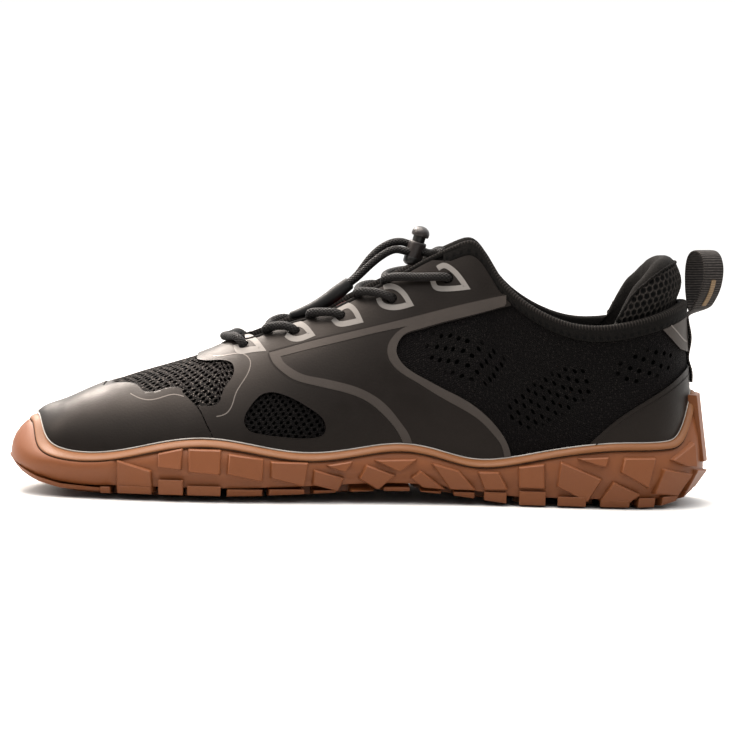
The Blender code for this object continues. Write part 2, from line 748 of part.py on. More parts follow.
QUARTER = columns(
    "length height",
    [
        (84.6, 5.0),
        (84.0, 24.5),
        (82.8, 27.4),
        (81.0, 30.7),
        (78.8, 34.8),
        (77.0, 37.4),
        (81.1, 37.4),
        (84.8, 38.3),
        (86.5, 42.5),
        (88.4, 46.2),
        (90.7, 50.5),
        (90.0, 53.6),
        (86.5, 54.8),
        (80.9, 54.5),
        (77.3, 54.3),
        (75.0, 54.6),
        (75.0, 130.0),
        (204.0, 130.0),
        (201.5, 79.9),
        (186.0, 75.3),
        (171.8, 71.3),
        (164.5, 69.0),
        (158.8, 66.8),
        (156.0, 63.0),
        (155.6, 60.2),
        (156.7, 57.2),
        (161.5, 53.1),
        (167.9, 49.6),
        (181.8, 40.8),
        (195.7, 34.0),
        (199.7, 30.4),
        (203.4, 25.3),
        (205.6, 20.0),
        (206.0, 5.0),
    ],
)

SIDE_WINDOW = columns(
    "length height",
    [
        (105.0, 43.3),
        (110.8, 42.6),
        (117.1, 40.0),
        (122.3, 37.0),
        (126.4, 34.0),
        (128.2, 30.7),
        (127.6, 27.2),
        (124.4, 25.8),
        (116.9, 25.4),
        (108.3, 26.1),
        (101.8, 26.9),
        (97.2, 28.7),
        (95.7, 31.4),
        (96.4, 35.2),
        (98.8, 38.9),
        (102.0, 42.2),
    ],
)

HEEL_COUNTER = columns(
    "length height",
    [
        (230.0, 5.0),
        (234.8, 26.0),
        (244.5, 35.0),
        (255.4, 42.4),
        (267.1, 49.8),
        (275.0, 55.8),
        (295.0, 62.0),
        (295.0, 5.0),
    ],
)

HEEL_PATCH = columns(
    "length height",
    [(262.8, 95.0), (262.8, 72.2), (271.2, 63.6), (276.0, 61.6), (295.0, 66.0), (295.0, 95.0)],
)

BINDING = 5.5
THROAT_MARGIN = 1.6


def film_low(s):
    return rise_at_height(s, RIM_Z(s) + 0.9)


def film_high(s):
    """Short of the throat edge and of the collar binding, over the ridge on the closed vamp."""
    collar = np.clip((np.abs(s) - 7.0) / 0.2, 0, 1)
    margin = THROAT_MARGIN + (BINDING + 0.5 - THROAT_MARGIN) * collar
    return np.where(np.abs(s) <= THROAT, 1.0, rise_from_edge(s, margin))


def prism(table):
    """A cutter right across the shoe from an outline in the side view."""
    count = len(table["length"])
    near = stack(table["length"], np.full(count, -90.0), table["height"])
    far = stack(table["length"], np.full(count, 90.0), table["height"])
    points, faces = block((near, far))
    return add("cutter", points, faces, None)


def make_film(name, finish, keep, window=None):
    """An overlay cut from a thin shell that lies just outside the last."""
    film = shell(name, FILM_GAP + FILM, FILM_GAP, film_low, film_high, finish)
    boolean(film, prism(keep), "INTERSECT")
    if window is not None:
        boolean(film, prism(window), "DIFFERENCE")
    return film


def round_heel(first):
    """Stations from the medial side, round the heel, to the lateral side."""
    side = STATIONS[STATIONS >= first - 1e-6]
    return np.concatenate([side, -side[-2::-1]])


def make_binding(finish):
    """A folded band: down the outside of the collar edge, and over its top."""
    s = round_heel(7.2)
    edge = last(s, edge_rise(s))
    across = normal(s, edge_rise(s))
    up = unit(edge - last(s, edge_rise(s) - 0.02))
    foot = rise_from_edge(s, BINDING)
    half = rise_from_edge(s, BINDING * 0.5)
    near, far = CLEARANCE, CLEARANCE + FILM
    sections = np.stack(
        [
            skin(s, foot, np.full(len(s), near)),
            skin(s, foot, np.full(len(s), far)),
            skin(s, half, np.full(len(s), far)),
            edge + across * far + up * 0.2,
            edge + across * (far - 0.5) + up * (near + 0.6),
            edge - across * (UPPER_WALL - 0.3) + up * (near + 0.6),
            edge - across * (UPPER_WALL - 0.3) + up * near,
            edge + across * near + up * near,
        ],
        axis=1,
    )
    return sweep("collar_binding", sections, finish)


PAD = columns(
    "station rise thick swell",
    [
        (9.6, 4.0, 3.0, 0.2),
        (9.8, 11.0, 4.0, 0.6),
        (10.0, 15.0, 5.0, 1.0),
        (10.4, 18.5, 6.2, 1.4),
        (10.8, 19.8, 7.0, 1.7),
        (11.2, 19.8, 7.4, 1.9),
        (11.6, 19.0, 7.6, 2.0),
        (12.0, 18.6, 7.6, 2.0),
    ],
)
PAD_DEPTH = 16.0


def make_heel_pad(finish):
    """A padded roll inside the heel: down the inside of the collar, and doming forward above it."""
    rows = list(zip(PAD["station"], PAD["rise"], PAD["thick"], PAD["swell"]))
    around = rows + [(-s, *rest) for s, *rest in rows[-2::-1]]
    sections = []
    for s, rise, thick, swell in around:
        station = np.array([s])
        inside = np.full(1, -(UPPER_WALL + CLEARANCE + 0.5))
        low = skin(station, rise_from_edge(station, PAD_DEPTH), inside)[0]
        half = skin(station, rise_from_edge(station, PAD_DEPTH * 0.5), inside)[0]
        edge = skin(station, edge_rise(station), inside)[0]
        way = -normal(station, np.array([0.9]))[0]
        way = unit(np.array([way[0], way[1], 0.0]))
        up = np.array([0.0, 0.0, 1.0])
        sections.append(
            [
                low,
                half,
                edge,
                edge - way * swell + up * rise * 0.36,
                edge - way * swell * 0.6 + up * rise * 0.66,
                edge + way * thick * 0.16 + up * rise * 0.9,
                edge + way * thick * 0.6 + up * rise,
                edge + way * thick * 1.04 + up * rise * 0.88,
                edge + way * thick * 1.2 + up * rise * 0.5,
                edge + way * thick * 1.1,
                half + way * thick * 0.8,
                low + way * thick * 0.3,
            ]
        )
    return sweep("heel_pad", sections, finish)


LOOP_WIDTH = 10.6
LOOP_THICK = 1.1
LOOP_TURN = 28.0  # degrees that the loop is twisted toward the medial side
LOOP_AXIS = 277.6
STRIP_HEIGHTS = (49.0, 56.0, 64.0, 71.0, 76.5)
LOOP = columns(
    "length height",
    [
        (279.2, 79.2),
        (282.6, 82.2),
        (286.0, 86.6),
        (288.0, 92.0),
        (288.0, 97.4),
        (285.4, 101.6),
        (281.2, 102.8),
        (277.2, 101.2),
        (275.2, 96.8),
        (275.0, 91.0),
        (275.6, 85.4),
    ],
)


def make_pull_loop(finish):
    """Webbing up the back of the heel, round a twisted loop, and down to the collar."""
    heel = np.full(len(STRIP_HEIGHTS), HEEL)
    lift = FILM_GAP + FILM + CLEARANCE + LOOP_THICK / 2 + 0.35
    strip = skin(heel, rise_at_height(heel, np.array(STRIP_HEIGHTS)), np.full(len(heel), lift))
    loop = stack(LOOP["length"], np.full(len(LOOP["length"]), strip[-1, 1]), LOOP["height"])
    path = smooth_path(np.concatenate([strip, loop]), 34)
    step = unit(np.gradient(path, axis=0))
    wide = np.array([0.0, 1.0, 0.0])
    thick = unit(np.cross(step, wide))
    sections = []
    for point, face in zip(path, thick):
        half, deep = wide * LOOP_WIDTH / 2, face * LOOP_THICK / 2
        below, above = point - deep, point + deep
        corners = np.array([below - half, below + half, above + half, above - half])
        share = np.clip((point[2] - 79.0) / 9.0, 0, 1)
        turn = math.radians(LOOP_TURN) * share**2 * (3 - 2 * share)
        flat = corners[:, :2] - (LOOP_AXIS, point[1])
        corners[:, 0] = LOOP_AXIS + flat[:, 0] * math.cos(turn) - flat[:, 1] * math.sin(turn)
        corners[:, 1] = point[1] + flat[:, 0] * math.sin(turn) + flat[:, 1] * math.cos(turn)
        sections.append(corners)
    return sweep("pull_loop", sections, finish)


# Lace: station and rise of each eyelet, and the length where the strand crests the throat edge

EYELETS = columns(
    "station rise crest",
    [
        (4.45, 0.79, 89.0),
        (5.10, 0.76, 104.0),
        (5.72, 0.79, 121.7),
        (6.40, 0.80, 140.6),
        (7.16, 0.83, 151.6),
    ],
)
LACE_LIFT = FILM_GAP + FILM + CLEARANCE + CORD / 2 + 0.2
LACE_MIDDLE = 1.1  # height of the strands over the throat edge where they cross


def top_station(x):
    """The station whose rib ends at that length."""
    s = np.linspace(0, HEEL, 601)
    return float(np.interp(x, TOP_X(s), s))


def lace_points(row, side):
    """One strand: from its eyelet over the near edge, across the throat and in under the far edge."""
    s, t, crest = (EYELETS[k][row] for k in ("station", "rise", "crest"))
    start = skin(np.array([side * s]), np.array([t]), np.array([LACE_LIFT]))[0]
    over = np.array([side * top_station(crest)])
    edge = edge_rise(over)
    crest_point = skin(over, edge, np.array([LACE_LIFT - 0.5]))[0]
    between = skin((over + side * s) / 2, (edge + t) / 2, np.array([LACE_LIFT + 0.4]))[0]
    if row == 0:
        nose = last(np.array([THROAT]), np.array([1.0]))[0]
        middle = np.array([nose[0] - 0.5, nose[1], nose[2] + LACE_LIFT + 0.2])
        return [start, between, crest_point, middle]
    before = EYELETS["station"][row - 1]
    far = np.array([-side * (before + 0.04)])
    far_edge = last(far, edge_rise(far))[0]
    middle_x = (crest + far_edge[0]) / 2
    at = np.array([top_station(middle_x)])
    level = last(at, edge_rise(at))[0][2]
    middle = np.array([middle_x, float(TOP_CENTRE(at[0])), level + LACE_MIDDLE])
    inward = np.sign(TOP_CENTRE(far[0]) - far_edge[1])
    end = np.array([far_edge[0], far_edge[1] + inward * 4.4, far_edge[2] + 0.2])
    return [start, between, crest_point, middle, end]


def make_lace(row, finish):
    """A bar at the first eyelets, then two strands joined where they cross."""
    if row == 0:
        medial, lateral = lace_points(0, 1), lace_points(0, -1)
        return tube("lace_bar", smooth_path(medial + lateral[-2::-1], 13), CORD / 2, finish)
    name = "lace_cross_%d" % (row + 1)
    one = tube(name, smooth_path(lace_points(row, 1), 9), CORD / 2, finish)
    other = tube("strand", smooth_path(lace_points(row, -1), 9), CORD / 2, finish)
    return boolean(one, other, "UNION")


LOCK_FOOT = (161.2, 1.4, 94.0)
LOCK_AXIS = unit(np.array([0.263, 0.0, 0.965]))
LOCK_HALF = (3.7, 4.8)
LOCK_TRAVEL = 2.2
LOCK_BARREL = 10.0
CAVITY_SHARE = 0.72
STEM_SHARE = 0.62


def lock_rings(rows, sides=14):
    """Oval rings about the lock's axis: height along the axis and share of the full width."""
    side = np.array([LOCK_AXIS[2], 0.0, -LOCK_AXIS[0]])
    angle = np.arange(sides) * 2 * math.pi / sides
    rings = []
    for height, share in rows:
        centre = np.array(LOCK_FOOT) + LOCK_AXIS * height
        wide = np.cos(angle)[:, None] * side * LOCK_HALF[0] * share
        deep = np.sin(angle)[:, None] * np.array([0.0, 1.0, 0.0]) * LOCK_HALF[1] * share
        rings.append(centre + wide + deep)
    return rings


def make_lock(barrel_finish, button_finish):
    top = LOCK_BARREL
    barrel = [(0.0, 0.8), (0.8, 0.94), (top * 0.5, 1.0), (top - 0.5, 1.0), (top, 0.92)]
    barrel += [(top, CAVITY_SHARE), (4.0, CAVITY_SHARE)]
    dome = top + LOCK_TRAVEL
    button = [(7.0, STEM_SHARE), (dome, STEM_SHARE), (dome, 0.96), (dome + 1.2, 1.0), (dome + 2.6, 0.9)]
    button += [(dome + 3.8, 0.62), (dome + 4.3, 0.25)]
    return [
        sweep("cord_lock_barrel", lock_rings(barrel), barrel_finish),
        sweep("cord_lock_button", lock_rings(button), button_finish),
    ]


TAILS = columns(
    "x y z part",
    [
        (174.0, -8.0, 100.0, 0),
        (171.6, -5.2, 99.9, 0),
        (169.2, -2.2, 99.0, 0),
        (166.95, -1.2, 99.4, 0),
        (174.0, 11.8, 100.0, 1),
        (171.6, 8.2, 99.9, 1),
        (169.2, 5.0, 99.0, 1),
        (166.95, 4.0, 99.4, 1),
        (158.6, -1.2, 99.85, 2),
        (155.4, -1.3, 100.4, 2),
        (149.8, -1.3, 98.2, 2),
        (143.6, -1.2, 93.0, 2),
        (138.0, -1.15, 87.6, 2),
        (134.5, -1.15, 85.05, 2),
        (159.4, 4.0, 102.75, 3),
        (156.2, 3.8, 103.4, 3),
        (150.0, 3.2, 101.4, 3),
        (143.6, 2.6, 95.4, 3),
        (138.2, 2.35, 88.2, 3),
        (134.5, 2.35, 85.05, 3),
    ],
)
TAIL_NAMES = ("lace_tail_medial", "lace_tail_lateral", "pull_cord_medial", "pull_cord_lateral")


def make_tails(finish):
    made = []
    for part, name in enumerate(TAIL_NAMES):
        rows = TAILS["part"] == part
        path = stack(TAILS["x"][rows], TAILS["y"][rows], TAILS["z"][rows])
        curve = bpy.data.curves.new(name, "CURVE")
        curve.dimensions = "3D"
        curve.bevel_depth = CORD / 2 * MM
        curve.bevel_resolution = 2
        curve.use_fill_caps = True
        points = smooth_path(path, 5 if part < 2 else 9) * MM
        line = curve.splines.new("POLY")
        line.points.add(len(points) - 1)
        line.points.foreach_set("co", np.hstack([points, np.ones((len(points), 1))]).ravel())
        curve.materials.append(finish)
        obj = bpy.data.objects.new(name, curve)
        bpy.context.scene.collection.objects.link(obj)
        made.append(obj)
    return made


ON_THE_CORD = TAIL_NAMES + ("cord_end", "cord_lock_barrel", "cord_lock_button")

CORD_END = columns(
    "length height wide thick",
    [(134.2, 84.8, 3.0, 1.9), (131.5, 82.9, 3.7, 2.3), (125.0, 79.2, 3.4, 2.1), (116.0, 75.6, 2.7, 1.9)]
    + [(112.6, 74.2, 2.2, 1.6)],
)


def make_cord_end(finish):
    """A flat sleeve that closes the two pull cords, wider where they enter."""
    path = stack(CORD_END["length"], np.full(5, 0.6), CORD_END["height"])
    step = unit(np.gradient(path, axis=0))
    side = np.array([0.0, 1.0, 0.0])
    up = np.cross(step, side)
    angle = np.arange(10) * 2 * math.pi / 10
    sections = []
    for point, lift, wide, thick in zip(path, up, CORD_END["wide"], CORD_END["thick"]):
        ring = np.cos(angle)[:, None] * side * wide + np.sin(angle)[:, None] * lift * thick
        sections.append(point + ring)
    return sweep("cord_end", sections, finish)


KEEPER = columns(
    "across lift",
    [(-7.4, 0.9), (-7.0, 2.6), (-5.6, 3.7), (-2.4, 4.3), (2.4, 4.3), (5.6, 3.7), (7.0, 2.6), (7.4, 0.9)],
)
KEEPER_LENGTH = (128.0, 131.8)
KEEPER_THICK = 0.7
KEEPER_DROP = 2.0  # how far the tongue lies below the throat edge


def make_keeper(finish):
    """A plain band that arches over the tongue under the cord end."""
    middle = np.array([top_station(sum(KEEPER_LENGTH) / 2)])
    edge = last(middle, edge_rise(middle))[0]
    before, after = middle[0] - 0.1, middle[0] + 0.1
    slope = (TOP_Z(after) - TOP_Z(before)) / (TOP_X(after) - TOP_X(before))
    inner = stack(np.zeros(8), KEEPER["across"], KEEPER["lift"])
    step = unit(np.gradient(inner, axis=0))
    outer = inner + stack(np.zeros(8), -step[:, 2], step[:, 1]) * KEEPER_THICK
    sections = []
    for low, high in zip(inner, outer):
        corners = []
        for x, point in ((0, low), (1, low), (1, high), (0, high)):
            length = KEEPER_LENGTH[x]
            level = edge[2] - KEEPER_DROP + (length - edge[0]) * slope
            corners.append((length, TOP_CENTRE(middle[0]) + point[1], level + point[2]))
        sections.append(corners)
    return sweep("tongue_keeper", sections, finish)


def build():
    for obj in list(bpy.data.objects):
        bpy.data.objects.remove(obj)
    gum = material("gum_rubber", (0.26, 0.095, 0.042), 0.55)
    knit = material("black_knit", (0.012, 0.011, 0.010), 0.85)
    foam = material("foot_bed_foam", (0.03, 0.03, 0.03), 0.9)
    film = material("charcoal_film", (0.028, 0.025, 0.023), 0.45)
    patch = material("grey_film", (0.09, 0.08, 0.075), 0.5)
    mesh = material("padded_mesh", (0.014, 0.013, 0.012), 0.8)
    webbing = material("black_webbing", (0.016, 0.015, 0.014), 0.7)
    cord = material("black_cord", (0.012, 0.011, 0.011), 0.6)
    plastic = material("grey_plastic", (0.085, 0.07, 0.06), 0.35)
    red = material("red_tape", (0.14, 0.012, 0.012), 0.7)
    dark = material("black_plastic", (0.02, 0.018, 0.017), 0.35)
    pieces = [make_outsole(gum), make_upper(knit), make_insole(foam), make_tongue(knit)]
    pieces += [
        make_film("toe_cap", film, TOE_CAP),
        make_film("quarter_film", film, QUARTER, SIDE_WINDOW),
        make_film("heel_counter", film, HEEL_COUNTER),
        make_film("heel_patch", patch, HEEL_PATCH),
        make_binding(knit),
        make_heel_pad(mesh),
        make_pull_loop(webbing),
        make_cord_end(dark),
        make_keeper(red),
    ]
    pieces += [make_lace(row, cord) for row in range(len(EYELETS["station"]))]
    pieces += make_tails(cord)
    pieces += make_lock(plastic, dark)
    root = bpy.data.objects.new("sneaker", None)
    bpy.context.scene.collection.objects.link(root)
    shoe = [piece for piece in pieces if piece.name not in ON_THE_CORD]
    corners = np.array([v.co for piece in shoe for v in piece.data.vertices])
    middle = (corners.min(axis=0) + corners.max(axis=0)) / 2
    root.location = (-middle[0], -middle[1], -corners[:, 2].min())
    for piece in pieces:
        piece.parent = root


build()
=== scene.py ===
import math

import bmesh
import bpy
import numpy as np
from mathutils import Matrix


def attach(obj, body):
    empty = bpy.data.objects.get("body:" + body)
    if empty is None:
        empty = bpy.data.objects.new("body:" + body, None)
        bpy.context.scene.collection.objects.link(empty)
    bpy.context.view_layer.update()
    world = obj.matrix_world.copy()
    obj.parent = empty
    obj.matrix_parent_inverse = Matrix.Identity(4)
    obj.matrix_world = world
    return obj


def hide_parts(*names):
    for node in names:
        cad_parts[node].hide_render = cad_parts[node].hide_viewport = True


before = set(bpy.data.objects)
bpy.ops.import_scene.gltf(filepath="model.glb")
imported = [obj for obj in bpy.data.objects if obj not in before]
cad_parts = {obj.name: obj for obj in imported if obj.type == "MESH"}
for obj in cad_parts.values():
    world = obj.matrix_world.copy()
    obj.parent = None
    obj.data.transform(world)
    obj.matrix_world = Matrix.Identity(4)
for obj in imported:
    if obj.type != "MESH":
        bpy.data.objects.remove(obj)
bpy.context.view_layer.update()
print("frame loaded, nodes:", len(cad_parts))

# The shoe is worked out in millimetres from the toe tip, and frameShift carries it into the frame
frameShift = np.array((-145.004, -4.365, 0.0))
lastSizes = dict(
    length=285.0, ballWidth=107.0, instepHeight=104.0, wall=2.0, knit=0.3, film=0.8, filmGap=0.4,
    clearance=0.3, heel=12.0, throat=4.15, slotNose=0.4, slotEnd=7.0,
)
heel, throat = lastSizes["heel"], lastSizes["throat"]
filmTop = lastSizes["filmGap"] + lastSizes["film"]


def table(names, rows):
    # one array for each named column
    return dict(zip(names.split(), np.array(rows, float).T))


outlineTable = table("station medialX medialY lateralX lateralY", [
    (0, 0.0, -12.0, 0.0, -12.0), (1, 2.1, -30.8, 1.6, 8.5), (2, 7.7, -40.7, 6.2, 26.0),
    (3, 16.8, -44.4, 15.0, 41.2), (4, 28.1, -45.8, 27.4, 50.9), (5, 39.3, -42.5, 39.3, 53.7),
    (6, 49.8, -36.8, 49.8, 49.5), (7, 60.4, -33.6, 60.4, 43.9), (8, 71.6, -33.2, 71.6, 39.3),
    (9, 82.1, -34.4, 82.1, 36.9), (10, 90.5, -32.6, 90.5, 33.6), (11, 96.9, -22.0, 96.9, 23.4),
    (12, 99.8, 0.5, 99.8, 0.5),
])
toplineTable = table("station x centre gap z", [
    (0, 8.8, -8.4, 0.0, 35.6), (1, 10.2, -8.0, 0.0, 37.2), (2, 13.9, -6.6, 0.0, 41.2),
    (3, 20.4, -4.2, 0.0, 47.6), (4, 28.8, -1.9, 0.0, 55.6), (4.5, 33.6, -1.0, 9.8, 62.2),
    (5, 39.3, 0.0, 10.8, 69.2), (5.5, 44.5, 0.6, 11.3, 74.0), (6, 49.8, 1.0, 11.8, 81.2),
    (6.5, 54.9, 1.4, 12.3, 87.6), (7, 59.6, 1.8, 12.8, 94.2), (7.3, 63.4, 1.9, 13.6, 99.2),
    (7.5, 65.3, 1.9, 14.4, 100.0), (7.7, 66.9, 1.9, 16.2, 95.6), (8, 68.7, 1.9, 19.2, 87.6),
    (8.5, 73.2, 1.8, 24.4, 76.6), (9, 79.0, 1.5, 27.6, 70.0), (9.5, 84.3, 1.2, 28.4, 69.4),
    (10, 88.6, 0.9, 26.8, 71.6), (11, 93.7, 0.6, 17.8, 76.2), (12, 95.6, 0.5, 0.0, 78.6),
])
sectionTable = table("station inset bulge stand reach drop", [
    (0, 14.0, 9.0, 0.62, 0.62, 0.16), (1, 13.0, 7.5, 0.62, 0.60, 0.12), (2, 9.5, 4.5, 0.60, 0.60, 0.05),
    (3, 7.5, 3.0, 0.56, 0.60, 0.02), (4, 7.0, 2.5, 0.52, 0.58, 0.01), (5, 7.0, 2.5, 0.48, 0.54, 0.05),
    (6, 7.0, 3.0, 0.43, 0.54, 0.10), (7, 7.0, 3.5, 0.40, 0.52, 0.20), (8, 7.0, 3.5, 0.38, 0.50, 0.28),
    (9, 7.0, 4.0, 0.36, 0.60, 0.32), (10, 8.5, 6.0, 0.36, 0.75, 0.32), (11, 12.0, 10.0, 0.36, 0.85, 0.32),
    (12, 14.5, 12.5, 0.36, 0.95, 0.32),
])
rimTable = table("station z", [
    (0, 30.4), (0.5, 29.4), (1, 25.2), (1.5, 20.7), (2, 18.2), (2.5, 17.5), (3, 19.2), (3.5, 22.6),
    (4, 24.3), (4.5, 22.8), (5, 20.2), (5.4, 19.4), (6, 21.4), (6.6, 23.5), (7, 21.7), (7.5, 18.0),
    (8, 19.2), (8.5, 22.4), (9, 24.8), (9.5, 26.0), (10, 26.2), (10.5, 26.6), (11, 30.0), (11.35, 38.0),
    (11.7, 44.4), (12, 46.0),
])
tuckTable = table("station inset", [
    (0, 2.6), (1, 3.0), (2, 3.2), (3, 3.2), (5, 3.0), (8, 3.0), (10, 4.2), (11, 5.8), (12, 7.5),
])
# The toe's lip: how far inside the outline it stands, and the heights of its two edges
lipInset = table("station inset", [(0, -0.3), (0.6, 0.4), (1.4, 1.2), (2.7, 1.8)])
lipTable = table("x low high", [
    (-2.0, 14.4, 15.8), (0.0, 12.6, 14.2), (2.0, 10.8, 12.8), (4.7, 8.8, 10.9), (8.9, 6.8, 8.9),
    (12.5, 5.5, 7.5), (22.1, 3.6, 5.4), (39.4, 3.0, 4.3),
])


def spline(knots, values):
    # natural cubic through the knots: second derivatives from one linear system, then the usual blend
    knots, values = np.asarray(knots, float), np.asarray(values, float)
    step = np.diff(knots)
    slope = np.diff(values) / step
    system = np.eye(len(knots))
    target = np.zeros(len(knots))
    inner = np.arange(1, len(knots) - 1)
    system[inner, inner - 1] = step[:-1]
    system[inner, inner] = 2 * (step[:-1] + step[1:])
    system[inner, inner + 1] = step[1:]
    target[inner] = 6 * np.diff(slope)
    bend = np.linalg.solve(system, target)

    def at(where):
        # the cubic of the span that holds each place
        where = np.asarray(where, float)
        i = np.clip(np.searchsorted(knots, where) - 1, 0, len(knots) - 2)
        b = (where - knots[i]) / step[i]
        a = 1 - b
        curve = ((a**3 - a) * bend[i] + (b**3 - b) * bend[i + 1]) * step[i] ** 2 / 6
        return a * values[i] + b * values[i + 1] + curve

    return at


def lap(rows, medial, lateral=None, scale=1.0, odd=False):
    # a column carried round the shoe, lateral side on negative stations, smooth through toe and heel
    station, one = rows["station"], rows[medial]
    other = rows[lateral or medial] * (-1 if odd else 1)
    knots = np.concatenate([-station[::-1], station[1:]])
    values = np.concatenate([other[::-1], one[1:]]) * scale
    turn = 2 * heel
    return spline(
        np.concatenate([knots[-4:-1] - turn, knots, knots[1:4] + turn]),
        np.concatenate([values[-4:-1], values, values[1:4]]),
    )


outlineX = lap(outlineTable, "medialX", "lateralX", lastSizes["length"] / 100)
outlineY = lap(outlineTable, "medialY", "lateralY", lastSizes["ballWidth"] / 100)
topX = lap(toplineTable, "x", scale=lastSizes["length"] / 100)
topCentre = lap(toplineTable, "centre", scale=lastSizes["ballWidth"] / 100)
topGap = lap(toplineTable, "gap", scale=lastSizes["ballWidth"] / 100, odd=True)
topZ = lap(toplineTable, "z", scale=lastSizes["instepHeight"] / 100)
rimZ, tuckInset = lap(rimTable, "z"), lap(tuckTable, "inset")
inset, bulge = lap(sectionTable, "inset"), lap(sectionTable, "bulge")
stand, reach, drop = lap(sectionTable, "stand"), lap(sectionTable, "reach"), lap(sectionTable, "drop")

soleSizes = dict(
    tread=3.2, baseToInside=8.2, insideFollows=0.8, forefootFlat=(55.0, 88.0), heelFlat=(207.0, 256.0),
    toeSpring=(7.5, 46.0, 3.2), heelRise=(3.6, 14.0, 2.2), archRise=4.2, belly=13.0, bellyOverFoot=2.0,
    bellyUnderRim=5.5, wallLean=2.6, rimWall=2.2, toeRimWall=1.2, rimBand=2.6, toeRimBand=1.7,
    groove=(0.6, 1.2), cupEase=0.25, edgeLift=26.0, heelEase=0.44,
)
edgeLiftTable = table("x lift", [(20, 0.6), (45, 2.7), (105, 2.7), (140, 1.2), (175, 0.5)])


def stack(*parts):
    # coordinates side by side along a new last axis
    return np.stack(np.broadcast_arrays(*parts), axis=-1).astype(float)


def unit(vectors):
    # vectors divided by their length
    return vectors / np.linalg.norm(vectors, axis=-1, keepdims=True)


def smoothStep(value):
    # cubic from zero to one, level at both ends
    value = np.clip(value, 0, 1)
    return value * value * (3 - 2 * value)


def lengths(points):
    # length run along a row of points
    return np.concatenate([[0], np.cumsum(np.linalg.norm(np.diff(points, axis=0), axis=1))])


def ringAngles(count):
    # even angles round a ring
    return np.arange(count) * 2 * math.pi / count


def circles(side, up, count):
    # unit circles spanned by two directions at each of many points
    angle = ringAngles(count)[None, :, None]
    return np.cos(angle) * side[:, None] + np.sin(angle) * up[:, None]


def ground(x):
    # lowest face of the tread: a power curve up to the toe, a sine arch and a power curve up to the heel
    x = np.asarray(x, float)
    rise, run, power = soleSizes["toeSpring"]
    toe = rise * (np.clip(soleSizes["forefootFlat"][0] - x, 0, None) / run) ** power
    front, back = soleSizes["forefootFlat"][1], soleSizes["heelFlat"][0]
    share = np.clip((x - front) / (back - front), 0, 1)
    arch = soleSizes["archRise"] * np.sin(math.pi * share**1.36) ** 1.4
    rise, run, power = soleSizes["heelRise"]
    return toe + arch + rise * (np.clip(x - soleSizes["heelFlat"][1], 0, None) / run) ** power


def treadFace(x, inside):
    # the tread's underside: the ground curve eased down behind the heel, lifted as a power towards the edge,
    # and no higher than the toe's lip
    rise, run, power = soleSizes["heelRise"]
    eased = soleSizes["heelEase"] * rise * (np.clip(x - soleSizes["heelFlat"][1], 0, None) / run) ** power
    lift = np.interp(x, edgeLiftTable["x"], edgeLiftTable["lift"])
    face = ground(x) - eased + lift * np.clip(1 - inside / soleSizes["edgeLift"], 0, 1) ** 1.5
    return np.minimum(face, np.interp(x, lipTable["x"], lipTable["low"], right=np.inf))


def insideFloor(x):
    # the cup's floor: a fixed height, and part of the ground curve
    return soleSizes["baseToInside"] + soleSizes["insideFollows"] * ground(x)


def outline(s):
    # plan point of the sole's belly, and the outward normal from the turned tangent
    tiny = 1e-3
    along = unit(stack(outlineX(s + tiny) - outlineX(s - tiny), outlineY(s + tiny) - outlineY(s - tiny)))
    return stack(outlineX(s), outlineY(s)), stack(along[..., 1], -along[..., 0])


def last(s, t):
    # cubic from the feather edge, up the side, over the shoulder to the ridge or the opening edge
    s, t = np.broadcast_arrays(np.asarray(s, float), np.asarray(t, float))
    plan, out = outline(s)
    foot = plan - out * inset(s)[..., None]
    start = stack(foot[..., 0], foot[..., 1], insideFloor(foot[..., 0]) + lastSizes["clearance"])
    opened = smoothStep((np.abs(s) - throat) / (lastSizes["slotEnd"] - throat))
    end = stack(topX(s), topCentre(s) - topGap(s) * opened, topZ(s))
    height = (end - start)[..., 2]
    side = start + stack(out[..., 0] * bulge(s), out[..., 1] * bulge(s), stand(s) * height)
    shoulder = end + (start - end) * stack(reach(s), reach(s), drop(s))
    t = t[..., None]
    return (1 - t) ** 3 * start + 3 * (1 - t) ** 2 * t * side + 3 * (1 - t) * t**2 * shoulder + t**3 * end


# Soft troughs and swells of a shoe that has been worn in: place, spread and depth
creaseTable = table("station rise stationSpread riseSpread depth", [
    (3.05, 0.66, 0.22, 0.16, -0.45), (3.75, 0.60, 0.16, 0.20, -0.50), (4.35, 0.45, 0.20, 0.20, -0.35),
    (5.30, 0.55, 0.30, 0.12, 0.35), (6.75, 0.62, 0.30, 0.14, -0.40), (7.80, 0.62, 0.30, 0.22, -0.70),
    (0.00, 0.50, 0.80, 0.26, 2.60), (12.0, 0.80, 0.70, 0.26, 1.60), (8.60, 0.72, 0.35, 0.16, 0.50),
    (9.40, 0.70, 0.35, 0.20, -0.55), (10.30, 0.70, 0.40, 0.20, 0.35),
])


def relief(s, t):
    # sum of Gaussian dents and swells, the same on both sides
    total = np.zeros(np.broadcast(s, t).shape)
    for place, rise, wide, high, depth in zip(*creaseTable.values()):
        total = total + depth * np.exp(-(((np.abs(s) - place) / wide) ** 2) - ((t - rise) / high) ** 2)
    return total


def normal(s, t):
    # cross product of the two tangents, read just below the ridge, where the ribs draw together
    tiny = 1e-3
    t = np.minimum(t, 0.97)
    along = last(s + tiny, t) - last(s - tiny, t)
    return unit(np.cross(along, last(s, t + tiny) - last(s, t - tiny)))


def skin(s, t, offset):
    # the last moved out along its normal by the offset and by the creases
    away = np.asarray(offset, float) + relief(s, t)
    return last(s, t) + normal(s, t) * away[..., None]


def bisect(test, low, high, steps=40):
    # whole-array halving: test is true while the answer lies further on
    for _ in range(steps):
        middle = (low + high) / 2
        further = test(middle)
        low, high = np.where(further, middle, low), np.where(further, high, middle)
    return (low + high) / 2


